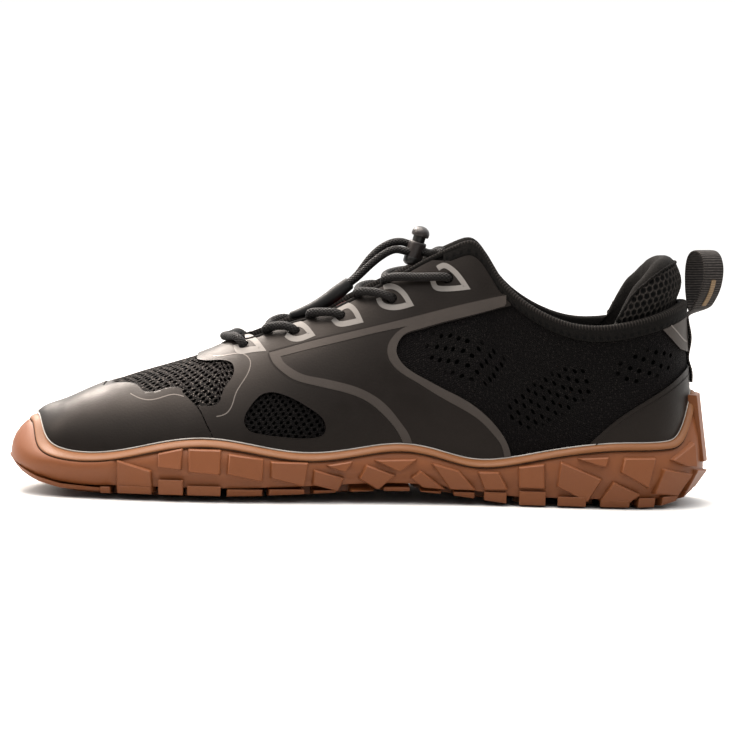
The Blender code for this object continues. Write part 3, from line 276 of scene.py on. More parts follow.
def riseAtHeight(s, height):
    # where the creased last comes up to that height
    s = np.asarray(s, float)
    return bisect(lambda t: skin(s, t, 0.0)[..., 2] < height, np.zeros(s.shape), np.full(s.shape, 0.98))


def edgeRise(s):
    # where the ribs cross the throat's slot, whose front end is a quarter ellipse in the station
    s = np.asarray(s, float)
    opened = np.clip((np.abs(s) - throat) / lastSizes["slotNose"], 0, 1)
    slot = np.abs(topGap(s)) * np.sqrt(1 - (1 - opened) ** 2)
    away = lambda t: np.abs(last(s, t)[..., 1] - topCentre(s)) > slot
    found = bisect(away, np.full(s.shape, 0.4), np.ones(s.shape))
    return np.where((opened <= 0) | (np.abs(s) >= lastSizes["slotEnd"]), 1.0, found)


def riseFromEdge(s, distance):
    # arc length down the rib from the edge, summed over short steps and read back by interpolation
    s = np.asarray(s, float)
    t = edgeRise(s)[:, None] * np.linspace(1, 0, 241)[None, :]
    ribs = last(s[:, None], t)
    gone = np.cumsum(np.linalg.norm(np.diff(ribs, axis=1), axis=-1), axis=1)
    gone = np.concatenate([np.zeros((len(s), 1)), gone], axis=1)
    far = np.broadcast_to(distance, s.shape)[:, None]
    i = np.clip((gone <= far).sum(axis=1) - 1, 0, gone.shape[1] - 2)[:, None]
    low, high = np.take_along_axis(gone, i, 1), np.take_along_axis(gone, i + 1, 1)
    share = (far - low) / np.maximum(high - low, 1e-9)
    return (np.take_along_axis(t, i, 1) * (1 - share) + np.take_along_axis(t, i + 1, 1) * share)[:, 0]


def stationAt(x, curve):
    # the medial station where a curve of lengths comes to x
    s = np.linspace(0, heel, 1201)
    return np.interp(x, curve(s), s)


coarseStation = np.linspace(0.05, heel, 121)[:, None]
coarseRise = edgeRise(coarseStation[:, 0])[:, None] * np.linspace(0.04, 1, 37)[None, :]
coarseNet = {side: last(side * coarseStation, coarseRise)[..., (0, 2)].reshape(-1, 2) for side in (1, -1)}


def onSide(x, z, side=1):
    # station and rise of points seen in the side view: the nearest of a coarse net, then Newton steps
    x, z = np.broadcast_arrays(np.asarray(x, float), np.asarray(z, float))
    want = stack(x, z).reshape(-1, 2)
    near = ((want[:, None] - coarseNet[side][None]) ** 2).sum(axis=-1).argmin(axis=1)
    s = np.broadcast_to(coarseStation, coarseRise.shape).ravel()[near]
    t = coarseRise.ravel()[near]
    tiny = 1e-4
    for _ in range(14):
        here = last(side * s, t)[:, (0, 2)]
        ds = (last(side * (s + tiny), t)[:, (0, 2)] - here) / tiny
        dt = (last(side * s, t + tiny)[:, (0, 2)] - here) / tiny
        miss = want - here
        det = ds[:, 0] * dt[:, 1] - ds[:, 1] * dt[:, 0]
        det = np.where(np.abs(det) < 1.0, 1.0, det)
        s = s + np.clip((miss[:, 0] * dt[:, 1] - miss[:, 1] * dt[:, 0]) / det, -0.08, 0.08)
        t = np.clip(t + np.clip((ds[:, 0] * miss[:, 1] - ds[:, 1] * miss[:, 0]) / det, -0.04, 0.04), 0.01, 1)
    return (side * s).reshape(x.shape), t.reshape(x.shape)


def smoothPath(points, count):
    # natural cubics through the points over chord length, read at even steps
    points = np.asarray(points, float)
    gone = lengths(points)
    where = np.linspace(0, gone[-1], count)
    return np.stack([spline(gone, points[:, k])(where) for k in range(points.shape[1])], axis=1)


def closedLoop(points, count):
    # the same round a closed line, carried past its ends so that it is smooth there
    points = np.asarray(points, float)
    wide = np.concatenate([points[-3:], points, points[:4]])
    gone = lengths(wide)
    where = np.linspace(gone[3], gone[3 + len(points)], count, endpoint=False)
    return np.stack([spline(gone, wide[:, k])(where) for k in range(points.shape[1])], axis=1)


# Meshes from whole arrays


def linear(hexColour):
    # sRGB hex to linear light
    channels = np.array([int(hexColour[i:i + 2], 16) for i in (1, 3, 5)]) / 255
    bent = np.where(channels <= 0.04045, channels / 12.92, ((channels + 0.055) / 1.055) ** 2.4)
    return (*bent.tolist(), 1.0)


def gridFaces(rows, cols, start=0):
    # quads between the neighbours of a net
    index = np.arange(rows * cols).reshape(rows, cols) + start
    quads = np.stack([index[:-1, :-1], index[1:, :-1], index[1:, 1:], index[:-1, 1:]], axis=-1)
    return quads.reshape(-1, 4)


def addMesh(name, points, faces, finish=None, uv=None, marks=None, sharp=42.0, weld=2e-6):
    # a mesh at the frame's place, doubles merged, faces turned outward, edges over an angle kept sharp
    mesh = bpy.data.meshes.new(name)
    flat = (np.asarray(points, float).reshape(-1, 3) + frameShift) * 0.001
    mesh.from_pydata(flat.tolist(), [], faces if isinstance(faces, list) else faces.tolist())
    if uv is not None:
        index = np.empty(len(mesh.loops), np.int32)
        mesh.loops.foreach_get("vertex_index", index)
        layer = mesh.uv_layers.new(name="weave")
        layer.data.foreach_set("uv", np.asarray(uv, np.float32).reshape(-1, 2)[index].ravel())
    for mark, values in (marks or {}).items():
        made = mesh.attributes.new(mark, "FLOAT", "POINT")
        made.data.foreach_set("value", np.asarray(values, np.float32).ravel())
    work = bmesh.new()
    work.from_mesh(mesh)
    bmesh.ops.remove_doubles(work, verts=work.verts, dist=weld)
    bmesh.ops.dissolve_degenerate(work, edges=work.edges, dist=weld)
    bmesh.ops.recalc_face_normals(work, faces=work.faces)
    work.to_mesh(mesh)
    work.free()
    mesh.shade_smooth()
    mesh.set_sharp_from_angle(angle=math.radians(sharp))
    if finish is not None:
        mesh.materials.append(finish)
    obj = bpy.data.objects.new(name, mesh)
    bpy.context.scene.collection.objects.link(obj)
    return obj


def place(obj, slotName, *nodes, body="shoe"):
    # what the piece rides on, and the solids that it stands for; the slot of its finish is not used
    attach(obj, body)
    if nodes:
        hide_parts(*nodes)
    return obj


def sweep(name, sections, finish=None, ring=False, uv=None, marks=None, sharp=42.0):
    # closed sections in a row, the first point repeated, with flat caps unless they form a ring
    sections = np.asarray(sections, float)
    if ring:
        sections = np.concatenate([sections, sections[:1]])
    sections = np.concatenate([sections, sections[:, :1]], axis=1)
    rows, cols = sections.shape[:2]
    faces = gridFaces(rows, cols).tolist()
    if not ring:
        faces += [list(range(cols - 1)), list(range((rows - 1) * cols, rows * cols - 1))]
    return addMesh(name, sections, faces, finish, uv, marks, sharp)


def shell(name, outer, inner, low, high, finish=None, stations=None, shares=None, maker=None, sharp=42.0):
    # a closed wall between two offsets of the last: two nets, joined along the feather and opening edges
    s = stations
    t = low[:, None] * (1 - shares[None, :]) + high[:, None] * shares[None, :]
    rows, cols = t.shape
    closed = (np.abs(s) <= throat + 1e-6) & (high >= 1 - 1e-6)
    nets = []
    for offset in (outer, inner):
        net = skin(s[:, None], t, offset)
        net[closed, -1] = ((net + net[::-1])[:, -1] / 2)[closed]
        net[[0, -1]] = (net[0] + net[-1]) / 2
        nets.append(net)
    index = np.arange(2 * rows * cols).reshape(2, rows, cols)
    edge = lambda k: np.stack([index[0, :-1, k], index[0, 1:, k], index[1, 1:, k], index[1, :-1, k]], axis=-1)
    opening = edge(-1)[(np.minimum(np.abs(s[:-1]), np.abs(s[1:])) >= throat - 1e-6)]
    faces = np.concatenate([gridFaces(rows, cols), gridFaces(rows, cols, rows * cols), edge(0), opening])
    uv = marks = None
    if maker is not None:
        uv, marks = maker(s, t, nets)
    return addMesh(name, np.stack(nets), faces, finish, uv, marks, sharp)


def fineStations(count):
    # even stations with closer ones where the throat opens, lateral side first
    stations = np.concatenate([np.linspace(0, heel, count), throat + np.linspace(0, 0.5, 26)])
    stations = np.unique(np.round(stations, 6))
    return np.concatenate([-stations[::-1], stations[1:]])


def applied(obj):
    # the modifiers made part of the mesh
    graph = bpy.context.evaluated_depsgraph_get()
    made = bpy.data.meshes.new_from_object(obj.evaluated_get(graph))
    obj.modifiers.clear()
    obj.data = made
    return obj


def cut(obj, cutter, operation, sharp=42.0):
    # Boolean with the manifold solver, then the sharp edges again
    modifier = obj.modifiers.new("cut", "BOOLEAN")
    modifier.operation, modifier.solver, modifier.object = operation, "MANIFOLD", cutter
    applied(obj)
    bpy.data.objects.remove(cutter)
    obj.data.shade_smooth()
    obj.data.set_sharp_from_angle(angle=math.radians(sharp))
    return obj


def drumFaces(count, start):
    # two rings of points, one after the other: both ends and the sides between them
    ring = np.arange(count)
    turn = np.roll(ring, -1)
    sides = np.stack([ring, ring + count, turn + count, turn], axis=-1) + start
    return [(ring + start).tolist(), (ring[::-1] + start + count).tolist()] + sides.tolist()


def prism(outlines, near=-90.0, far=90.0):
    # closed outlines in the side view carried straight across the shoe
    points, faces, start = [], [], 0
    for line in outlines:
        points += [stack(line[:, 0], y, line[:, 1]) for y in (near, far)]
        faces += drumFaces(len(line), start)
        start += 2 * len(line)
    return addMesh("cutter", np.concatenate(points), faces)


def rounded(points, corners=(), step=0.7):
    # an outline smooth between its corners: each run of points becomes one cubic
    points = np.asarray(points, float)
    marks = sorted(corners) or [0]
    closed = np.concatenate([points[marks[0]:], points[:marks[0] + 1]])
    stops = [m - marks[0] for m in marks] + [len(points)]
    runs = []
    for a, b in zip(stops[:-1], stops[1:]):
        run = closed[a:b + 1]
        size = np.linalg.norm(np.diff(run, axis=0), axis=1).sum()
        runs.append(smoothPath(run, max(2, int(size / step)))[:-1] if len(run) > 2 else run[:1])
    return np.concatenate(runs)


# Camera and light
cameraSizes = dict(
    target=(144.41, 0.0, 51.61), distance=1500.0, elevation=4.5, slope=0.0255, pixelsPerMm=2.439,
    pixels=735, sensor=36.0,
)


def aim(obj, right, up, back, where):
    # a camera or lamp set by its axes and its place; it looks away from its back
    matrix = np.eye(4)
    matrix[:3] = np.stack([right, up, back, where], axis=1)
    obj.matrix_world = Matrix(matrix.tolist())
    bpy.context.scene.collection.objects.link(obj)
    return obj


def addCamera(sizes):
    # the view axis leans down by the elevation, and the picture is turned by the slope of the photograph
    lean = math.radians(sizes["elevation"])
    ahead = np.array((0.0, math.cos(lean), -math.sin(lean)))
    across, rise = np.array((1.0, 0.0, 0.0)), np.array((0.0, math.sin(lean), math.cos(lean)))
    turn = math.atan(sizes["slope"])
    right = across * math.cos(turn) + rise * math.sin(turn)
    up = rise * math.cos(turn) - across * math.sin(turn)
    where = (np.array(sizes["target"]) + frameShift - ahead * sizes["distance"]) * 0.001
    data = bpy.data.cameras.new("camera")
    data.lens = sizes["sensor"] * sizes["pixelsPerMm"] * sizes["distance"] / sizes["pixels"]
    data.sensor_width, data.clip_start, data.clip_end = sizes["sensor"], 0.05, 50.0
    bpy.context.scene.camera = aim(bpy.data.objects.new("camera", data), right, up, -ahead, where)


addCamera(cameraSizes)
lightTable = [
    # name, place in metres, size in metres, power in watts, colour
    ("topLight", (-0.16, 0.16, 1.02), 1.00, 31.0, "#fff3e8"),
    ("backLight", (-0.42, 0.72, 0.75), 0.30, 13.0, "#fff3e8"),
    ("toeLight", (-1.00, 0.05, 0.70), 0.50, 6.0, "#fff0e2"),
]


def addLights(rows):
    # square panels turned to the middle of the shoe
    for name, where, size, power, colour in rows:
        data = bpy.data.lights.new(name, "AREA")
        data.shape, data.size, data.energy, data.color = "SQUARE", size, power, linear(colour)[:3]
        back = unit(np.array(where) - (0.0, 0.0, 0.05))
        right = unit(np.cross((0.0, 0.0, 1.0), back))
        aim(bpy.data.objects.new(name, data), right, np.cross(back, right), back, where)


addLights(lightTable)
world = bpy.data.worlds.new("studio")
world.use_nodes = True
bpy.context.scene.world = world
bpy.context.scene.view_settings.view_transform = "Standard"
print("camera and light set")


# Finishes: each starts from one Principled shader


def setInputs(tree, node, inputs):
    # a socket is linked, and any other value is set on the node's own socket
    for key, value in inputs.items():
        if isinstance(value, bpy.types.NodeSocket):
            tree.links.new(value, node.inputs[key])
        else:
            node.inputs[key].default_value = value


def addNode(tree, kind, inputs=None, **settings):
    # a node with its settings and with what feeds its sockets
    made = tree.nodes.new("ShaderNode" + kind)
    for name, value in settings.items():
        setattr(made, name, value)
    setInputs(tree, made, inputs or {})
    return made


def newFinish(name, roughness, ior=1.5, specular=0.5):
    # a material, its nodes and its shader, with the shader's constants set
    finish = bpy.data.materials.new(name)
    finish.use_nodes = True
    tree = finish.node_tree
    shader = tree.nodes["Principled BSDF"]
    setInputs(tree, shader, {"Roughness": roughness, "IOR": ior, "Specular IOR Level": specular})
    return finish, tree, shader


def perMm(size):
    # noise scale on Object coordinates, in metres, for a grain of that many millimetres
    return 1000.0 / size


def gumRubber(name, dark, light, speckled):
    # moulded natural rubber: even tan with faint clouds, satin skin, fine grit from the mould
    finish, tree, shader = newFinish(name, 0.5, 1.52, 0.25)
    spot = addNode(tree, "TexCoord").outputs["Object"]
    cloud = addNode(tree, "TexNoise", {"Vector": spot, "Scale": perMm(22), "Detail": 3.0}).outputs["Fac"]
    grit = addNode(tree, "TexNoise", {"Vector": spot, "Scale": perMm(0.9), "Detail": 2.0}).outputs["Fac"]
    base = addNode(tree, "Mix", {0: cloud, 6: linear(dark), 7: linear(light)}, data_type="RGBA").outputs[2]
    speck = addNode(tree, "MapRange", {0: grit, 1: 0.25, 2: 0.75, 3: 0.0, 4: 0.12}).outputs[0]
    colour = addNode(tree, "Mix", {0: speck, 6: base, 7: linear(speckled)}, data_type="RGBA").outputs[2]
    rough = addNode(tree, "MapRange", {0: cloud, 1: 0.3, 2: 0.7, 3: 0.46, 4: 0.6}).outputs[0]
    bump = addNode(tree, "Bump", {"Strength": 0.5, "Distance": 0.00006, "Height": grit}).outputs[0]
    setInputs(tree, shader, {"Base Color": colour, "Roughness": rough, "Normal": bump})
    return finish


def bondedFilm(name, dark, light, roughness):
    # heat-bonded polyurethane film: satin charcoal skin with a fine leather grain pressed into it
    finish, tree, shader = newFinish(name, roughness, 1.2, 0.82)
    spot = addNode(tree, "TexCoord").outputs["Object"]
    grain = addNode(tree, "TexVoronoi", {"Vector": spot, "Scale": perMm(0.8)}, feature="SMOOTH_F1").outputs[0]
    cloud = addNode(tree, "TexNoise", {"Vector": spot, "Scale": perMm(9), "Detail": 4.0}).outputs["Fac"]
    colour = addNode(tree, "Mix", {0: cloud, 6: linear(dark), 7: linear(light)}, data_type="RGBA").outputs[2]
    limits = {1: 0.3, 2: 0.7, 3: roughness - 0.05, 4: roughness + 0.06}
    rough = addNode(tree, "MapRange", {0: cloud, **limits}).outputs[0]
    bump = addNode(tree, "Bump", {"Strength": 0.5, "Distance": 0.00006, "Height": grain}).outputs[0]
    setInputs(tree, shader, {"Base Color": colour, "Roughness": rough, "Normal": bump})
    shader.inputs["Specular Tint"].default_value = linear("#fff0e6")
    return finish


# Holes of the knit: mark, pitch in mm, turn, unevenness, and how far from a hole's middle it is open and shut
holeTable = [
    ("vamp", 2.5, 0.62, 0.2, 0.24, 0.40), ("window", 2.4, 0.52, 0.15, 0.22, 0.36),
    ("cluster", 4.4, -0.49, 0.16, 0.16, 0.25), ("lowCluster", 4.0, 0.18, 0.16, 0.17, 0.27),
]


def knitCloth():
    # engineered polyester knit: black loops about 0.9 mm apart, with painted highlights as glints on their
    # crowns and painted lighter on the vamp for the light from above, small open holes on the vamp and in the
    # side window, and lattices of larger holes on the quarter, the holes painted near black as the shade
    # inside
    finish, tree, shader = newFinish("engineeredKnit", 0.75, 1.5, 0.1)
    weave = addNode(tree, "UVMap", uv_map="weave").outputs["UV"]
    loops = addNode(
        tree, "TexVoronoi", {"Vector": weave, "Scale": 10 / 0.95, "Randomness": 0.5}, voronoi_dimensions="2D"
    ).outputs["Distance"]
    glint = addNode(tree, "TexNoise", {"Vector": weave, "Scale": 10 / 1.1}, noise_dimensions="2D").outputs[0]
    crown = addNode(tree, "MapRange", {0: loops, 1: 0.1, 2: 0.5, 3: 1.0, 4: 0.0}).outputs[0]
    spark = addNode(tree, "MapRange", {0: glint, 1: 0.5, 2: 0.7, 3: 0.0, 4: 1.0}).outputs[0]
    # painted highlight: loop crowns made lighter at spots of noise, as glints
    paintedHighlight = addNode(tree, "Math", {0: crown, 1: spark}, operation="MULTIPLY").outputs[0]
    depth = 0.0
    for mark, pitch, turn, uneven, isOpen, isShut in holeTable:
        turned = addNode(
            tree, "Mapping", {"Vector": weave, "Rotation": (0.0, 0.0, turn), "Scale": (10 / pitch,) * 3}
        ).outputs[0]
        cells = addNode(
            tree, "TexVoronoi", {"Vector": turned, "Scale": 1.0, "Randomness": uneven},
            voronoi_dimensions="2D",
        ).outputs["Distance"]
        hole = addNode(
            tree, "MapRange", {0: cells, 1: isOpen, 2: isShut, 3: 1.0, 4: 0.0},
            interpolation_type="SMOOTHSTEP",
        ).outputs[0]
        where = addNode(tree, "Attribute", attribute_name=mark).outputs["Fac"]
        kept = addNode(tree, "Math", {0: hole, 1: where}, operation="MULTIPLY").outputs[0]
        depth = addNode(tree, "Math", {0: depth, 1: kept}, operation="MAXIMUM").outputs[0]
    # thread colour without and with the painted highlight, both painted lighter on the vamp, where the light
    # from above falls
    vamp = addNode(tree, "Attribute", attribute_name="vamp").outputs["Fac"]
    ends = [
        addNode(tree, "Mix", {0: vamp, 6: linear(quarter), 7: linear(front)}, data_type="RGBA").outputs[2]
        for quarter, front in (("#040303", "#131110"), ("#1b1817", "#6e6762"))
    ]
    thread = addNode(tree, "Mix", {0: paintedHighlight, 6: ends[0], 7: ends[1]}, data_type="RGBA").outputs[2]
    # painted shade: the holes near black, as the dark inside of the shoe seen through them
    colour = addNode(tree, "Mix", {0: depth, 6: thread, 7: linear("#010101")}, data_type="RGBA").outputs[2]
    gloss = addNode(tree, "MapRange", {0: depth, 1: 0.0, 2: 1.0, 3: 0.05, 4: 0.0}).outputs[0]
    raised = addNode(tree, "Math", {0: crown, 1: 0.35}, operation="MULTIPLY").outputs[0]
    height = addNode(tree, "Math", {0: raised, 1: depth}, operation="SUBTRACT").outputs[0]
    bump = addNode(tree, "Bump", {"Strength": 0.8, "Distance": 0.0009, "Height": height}).outputs[0]
    setInputs(tree, shader, {"Base Color": colour, "Specular IOR Level": gloss, "Normal": bump})
    return finish


def ribCloth(name, dark, light, pitch, distance):
    # ribbed knit tape: fine ribs across its length, with a painted highlight on their crowns; the wave node
    # has a band to every tenth of pi
    finish, tree, shader = newFinish(name, 0.78, 1.5, 0.15)
    weave = addNode(tree, "UVMap", uv_map="weave").outputs["UV"]
    wave = {"Scale": 10 / pitch * 0.314159, "Distortion": 0.4, "Detail": 1.0, "Detail Scale": 3.0}
    ribs = addNode(
        tree, "TexWave", {"Vector": weave, **wave}, wave_type="BANDS", bands_direction="X"
    ).outputs["Fac"]
    fuzz = addNode(tree, "TexNoise", {"Vector": weave, "Scale": 10 / 0.6, "Detail": 2.0}).outputs["Fac"]
    share = addNode(tree, "Math", {0: ribs, 1: fuzz}, operation="MULTIPLY").outputs[0]
    # painted highlight: the colour goes lighter on the rib crowns
    colour = addNode(tree, "Mix", {0: share, 6: linear(dark), 7: linear(light)}, data_type="RGBA").outputs[2]
    bump = addNode(tree, "Bump", {"Strength": 1.0, "Distance": distance, "Height": share}).outputs[0]
    setInputs(tree, shader, {"Base Color": colour, "Normal": bump})
    return finish


def braidedCord():
    # round elastic cord: braided polyester sheath, two sets of strands that cross in small diamonds,
    # coarsened to about 1 mm so that they show, with a painted highlight on each strand's crown
    finish, tree, shader = newFinish("braidedCord", 0.52, 1.5, 0.13)
    weave = addNode(tree, "UVMap", uv_map="weave").outputs["UV"]
    turned = addNode(
        tree, "Mapping", {"Vector": weave, "Rotation": (0.0, 0.0, 0.785), "Scale": (10.5, 10.5, 1.0)}
    ).outputs[0]
    strand = addNode(
        tree, "TexVoronoi", {"Vector": turned, "Scale": 1.0, "Randomness": 0.1}, voronoi_dimensions="2D"
    ).outputs["Distance"]
    crown = addNode(tree, "MapRange", {0: strand, 1: 0.1, 2: 0.65, 3: 1.0, 4: 0.0}).outputs[0]
    # painted highlight: strand crowns lighter than the hollows between them
    dark, light = linear("#010101"), linear("#171413")
    colour = addNode(tree, "Mix", {0: crown, 6: dark, 7: light}, data_type="RGBA").outputs[2]
    bump = addNode(tree, "Bump", {"Strength": 1.0, "Distance": 0.00035, "Height": crown}).outputs[0]
    setInputs(tree, shader, {"Base Color": colour, "Normal": bump})
    return finish


def mouldedPlastic(name, dark, light, roughness):
    # injection-moulded nylon: satin skin, faint flow clouds, very fine spark texture
    finish, tree, shader = newFinish(name, roughness, 1.53, 0.24)
    spot = addNode(tree, "TexCoord").outputs["Object"]
    cloud = addNode(tree, "TexNoise", {"Vector": spot, "Scale": perMm(4), "Detail": 3.0}).outputs["Fac"]
    grit = addNode(tree, "TexNoise", {"Vector": spot, "Scale": perMm(0.35)}).outputs["Fac"]
    colour = addNode(tree, "Mix", {0: cloud, 6: linear(dark), 7: linear(light)}, data_type="RGBA").outputs[2]
    bump = addNode(tree, "Bump", {"Strength": 0.4, "Distance": 0.00003, "Height": grit}).outputs[0]
    setInputs(tree, shader, {"Base Color": colour, "Normal": bump})
    return finish


def meshPad():
    # spacer mesh over foam: thread ridges round open cells, with painted highlights on the ridges and painted
    # shade inside the cells
    finish, tree, shader = newFinish("spacerMesh", 0.8, 1.5, 0.05)
    cell = addNode(tree, "Attribute", attribute_name="cell").outputs["Fac"]
    spot = addNode(tree, "TexCoord").outputs["Object"]
    fuzz = addNode(tree, "TexNoise", {"Vector": spot, "Scale": perMm(0.7), "Detail": 3.0}).outputs["Fac"]
    # painted highlight on the ridges and painted shade in the cells
    paintedHighlight = addNode(tree, "Math", {0: cell, 1: fuzz}, operation="MULTIPLY").outputs[0]
    dark, light = linear("#020202"), linear("#3c3835")
    colour = addNode(tree, "Mix", {0: paintedHighlight, 6: dark, 7: light}, data_type="RGBA").outputs[2]
    bump = addNode(tree, "Bump", {"Strength": 0.7, "Distance": 0.0003, "Height": fuzz}).outputs[0]
    setInputs(tree, shader, {"Base Color": colour, "Normal": bump})
    return finish


def plainCloth(name, dark, light):
    # woven polyester face on foam: matt, with a small even grain
    finish, tree, shader = newFinish(name, 0.85, 1.5, 0.1)
    spot = addNode(tree, "TexCoord").outputs["Object"]
    grain = addNode(tree, "TexVoronoi", {"Vector": spot, "Scale": perMm(1.1), "Randomness": 0.4}).outputs[0]
    colour = addNode(tree, "Mix", {0: grain, 6: linear(light), 7: linear(dark)}, data_type="RGBA").outputs[2]
    bump = addNode(tree, "Bump", {"Strength": 0.5, "Distance": 0.0002, "Height": grain}).outputs[0]
    setInputs(tree, shader, {"Base Color": colour, "Normal": bump})
    return finish


def studioWorld():
    # white paper round the horizon, a dim room above it and a wide bright ceiling, by the height of the ray;
    # behind the shoe a pale wall makes the room brighter
    tree = world.node_tree
    way = addNode(tree, "TexCoord").outputs["Generated"]
    parts = addNode(tree, "SeparateXYZ", {0: way}).outputs
    skies = []
    for stops in (
        [(0.0, 0.40), (0.05, 0.39), (0.13, 0.13), (0.42, 0.18), (0.68, 1.0)],
        [(0.0, 0.40), (0.05, 0.39), (0.13, 0.34), (0.42, 0.60), (0.68, 1.0)],
    ):
        sky = addNode(tree, "ValToRGB", {0: parts[2]})
        while len(sky.color_ramp.elements) < len(stops):
            sky.color_ramp.elements.new(0.5)
        for mark, (where, level) in zip(sky.color_ramp.elements, stops):
            mark.position, mark.color = where, (level, level, level, 1.0)
        skies.append(sky.outputs["Color"])
    behind = addNode(tree, "MapRange", {0: parts[1], 1: 0.1, 2: 0.7, 3: 0.0, 4: 1.0}).outputs[0]
    mixed = addNode(tree, "Mix", {0: behind, 6: skies[0], 7: skies[1]}, data_type="RGBA").outputs[2]
    setInputs(tree, tree.nodes["Background"], {"Color": mixed, "Strength": 2.6})


studioWorld()
gum = gumRubber("gumRubber", "#5f3317", "#6b3c1c", "#472813")
beadGum = gumRubber("beadGum", "#613a1b", "#6b4221", "#4f3218")
film = bondedFilm("charcoalFilm", "#070504", "#0a0807", 0.46)
stripeFilm = bondedFilm("greyFilm", "#2c2826", "#34302d", 0.5)
markFilm = bondedFilm("paleFilm", "#625f5c", "#6d6a67", 0.48)
lineFilm = bondedFilm("silverLine", "#55504d", "#5f5a56", 0.4)
# pale cement line along the film's foot: real cement with painted glints, its tones mixed by noise
cementGlintFilm = bondedFilm("cementGlints", "#6d6965", "#a8a49f", 0.3)
# painted shadow: dark film for the shadows beside the stripes' raised edges
edgeShadowFilm = bondedFilm("paintedEdgeShadow", "#0b0a09", "#120f0e", 0.7)
knit = knitCloth()
webbing = ribCloth("ribbedWebbing", "#040303", "#4a4542", 1.05, 0.0002)
tanTape = ribCloth("tanTape", "#5d4e3c", "#806c54", 1.0, 0.0001)
cordCloth = braidedCord()
barrelPlastic = mouldedPlastic("greyNylon", "#1b1716", "#231e1d", 0.34)
sleevePlastic = mouldedPlastic("shrinkSleeve", "#060505", "#0b0a09", 0.62)
darkPlastic = mouldedPlastic("blackNylon", "#0a0908", "#100e0d", 0.35)
padMesh = meshPad()
bedCloth = plainCloth("footBedCloth", "#0d0c0c", "#1c1a19")
redTape = ribCloth("redTape", "#5f120e", "#8e2018", 0.9, 0.0001)
print("finishes made:", len(bpy.data.materials))


# Upper: the hollow knit shell
upperSizes = dict(stations=241, rises=46, meshRow=0.85)
clusterTable = table("x z halfLong halfShort turn", [
    (184.0, 58.3, 17.0, 8.4, -20.0), (218.0, 43.5, 19.0, 8.6, 30.0), (256.5, 57.5, 13.0, 6.0, 22.0),
])


def knitMap(s, t, nets):
    # weave runs along the shoe and down each rib in units of 10 mm, marks say where the holes are
    net = nets[0]
    row = net[:, int(upperSizes["meshRow"] * (net.shape[1] - 1))]
    along = lengths(row)
    along = along - np.interp(0, s, along)
    steps = np.linalg.norm(np.diff(net[:, ::-1], axis=1), axis=-1)
    down = np.concatenate([np.zeros((len(s), 1)), np.cumsum(steps, axis=1)], axis=1)[:, ::-1]
    uv = stack(np.broadcast_to(along[:, None], down.shape), down) / 10
    x, z = net[..., 0], net[..., 2]
    vamp = 1 - smoothStep((x - 92) / 2)
    window = (1 - vamp) * (1 - smoothStep((x - 133) / 3)) * (1 - smoothStep((z - 47) / 3))
    clusters = []
    for cx, cz, long, short, turn in zip(*clusterTable.values()):
        a = math.radians(turn)
        far = ((x - cx) * math.cos(a) + (z - cz) * math.sin(a)) / long
        up = ((z - cz) * math.cos(a) - (x - cx) * math.sin(a)) / short
        clusters.append(1 - smoothStep((np.abs(far) ** 3 + np.abs(up) ** 3 - 0.75) / 0.35))
    high = np.maximum(clusters[0], clusters[2])
    holes = dict(vamp=vamp, window=window, cluster=high, lowCluster=clusters[1])
    marks = {k: np.stack([v, np.zeros(x.shape)]) for k, v in holes.items()}
    return np.stack([uv, uv]), marks


upperStations = fineStations(upperSizes["stations"])
upper = shell(
    "knit_upper", lastSizes["knit"], -lastSizes["wall"], np.zeros(len(upperStations)),
    edgeRise(upperStations), knit, upperStations, np.linspace(0, 1, upperSizes["rises"]), knitMap,
)
place(upper, "black_knit", "upper")
print("upper:", len(upper.data.polygons), "faces")

# Bonded films: cut from a thin shell by smooth outlines in the side view
filmSizes = dict(stations=301, rises=40, under=-0.15, throatMargin=1.6, binding=5.5, overRim=0.2)
toeCapLine = [
    (-5, 5), (-5, 60), (37.4, 60), (37.4, 42.9), (41.7, 44.0), (48.5, 44.7), (52.1, 43.9), (54.2, 42.3),
    (57.3, 41.8), (62.2, 43.0), (66.9, 44.0), (70.0, 43.6), (70.4, 42.1), (74.5, 38.7), (78.2, 34.6),
    (80.4, 30.4), (82.2, 27.2), (83.4, 24.5), (84.0, 5.0),
]
quarterLine = [
    (84.4, 5.0), (83.8, 24.5), (82.6, 27.4), (80.8, 30.6), (78.6, 34.8), (76.8, 37.4), (81.1, 37.4),
    (84.8, 38.3), (86.5, 42.5), (88.4, 46.2), (90.7, 50.5), (90.0, 53.6), (86.5, 54.8), (80.9, 54.5),
    (77.3, 54.3),
    (75.0, 54.6), (75.0, 130.0), (204.0, 130.0), (201.5, 79.9), (186.0, 75.3), (171.8, 71.3), (164.5, 69.0),
    (158.8, 66.8), (156.0, 63.0), (155.6, 60.2), (156.7, 57.2), (160.9, 53.1), (167.3, 49.6), (175.4, 45.6),
    (183.2, 41.9), (190.0, 37.5), (195.2, 32.9), (199.2, 28.1), (201.8, 23.4), (203.1, 19.0), (203.4, 5.0),
]
windowLine = [
    (105.0, 43.3), (110.8, 42.6), (117.1, 40.0), (122.3, 37.0), (126.4, 34.0), (128.2, 30.7), (127.6, 27.2),
    (124.4, 25.8), (116.9, 25.4), (108.3, 26.1), (101.8, 26.9), (97.2, 28.7), (95.7, 31.4), (96.4, 35.2),
    (98.8, 38.9), (102.0, 42.2),
]
counterLine = [
    (230, 5), (234.8, 26.0), (244.5, 35.0), (255.4, 42.4), (267.1, 49.8), (275.0, 55.8), (295, 62), (295, 5),
]
patchLine = [(262.8, 95.0), (262.8, 72.2), (271.2, 63.6), (276.0, 61.6), (295.0, 66.0), (295.0, 95.0)]
filmStations = fineStations(filmSizes["stations"])


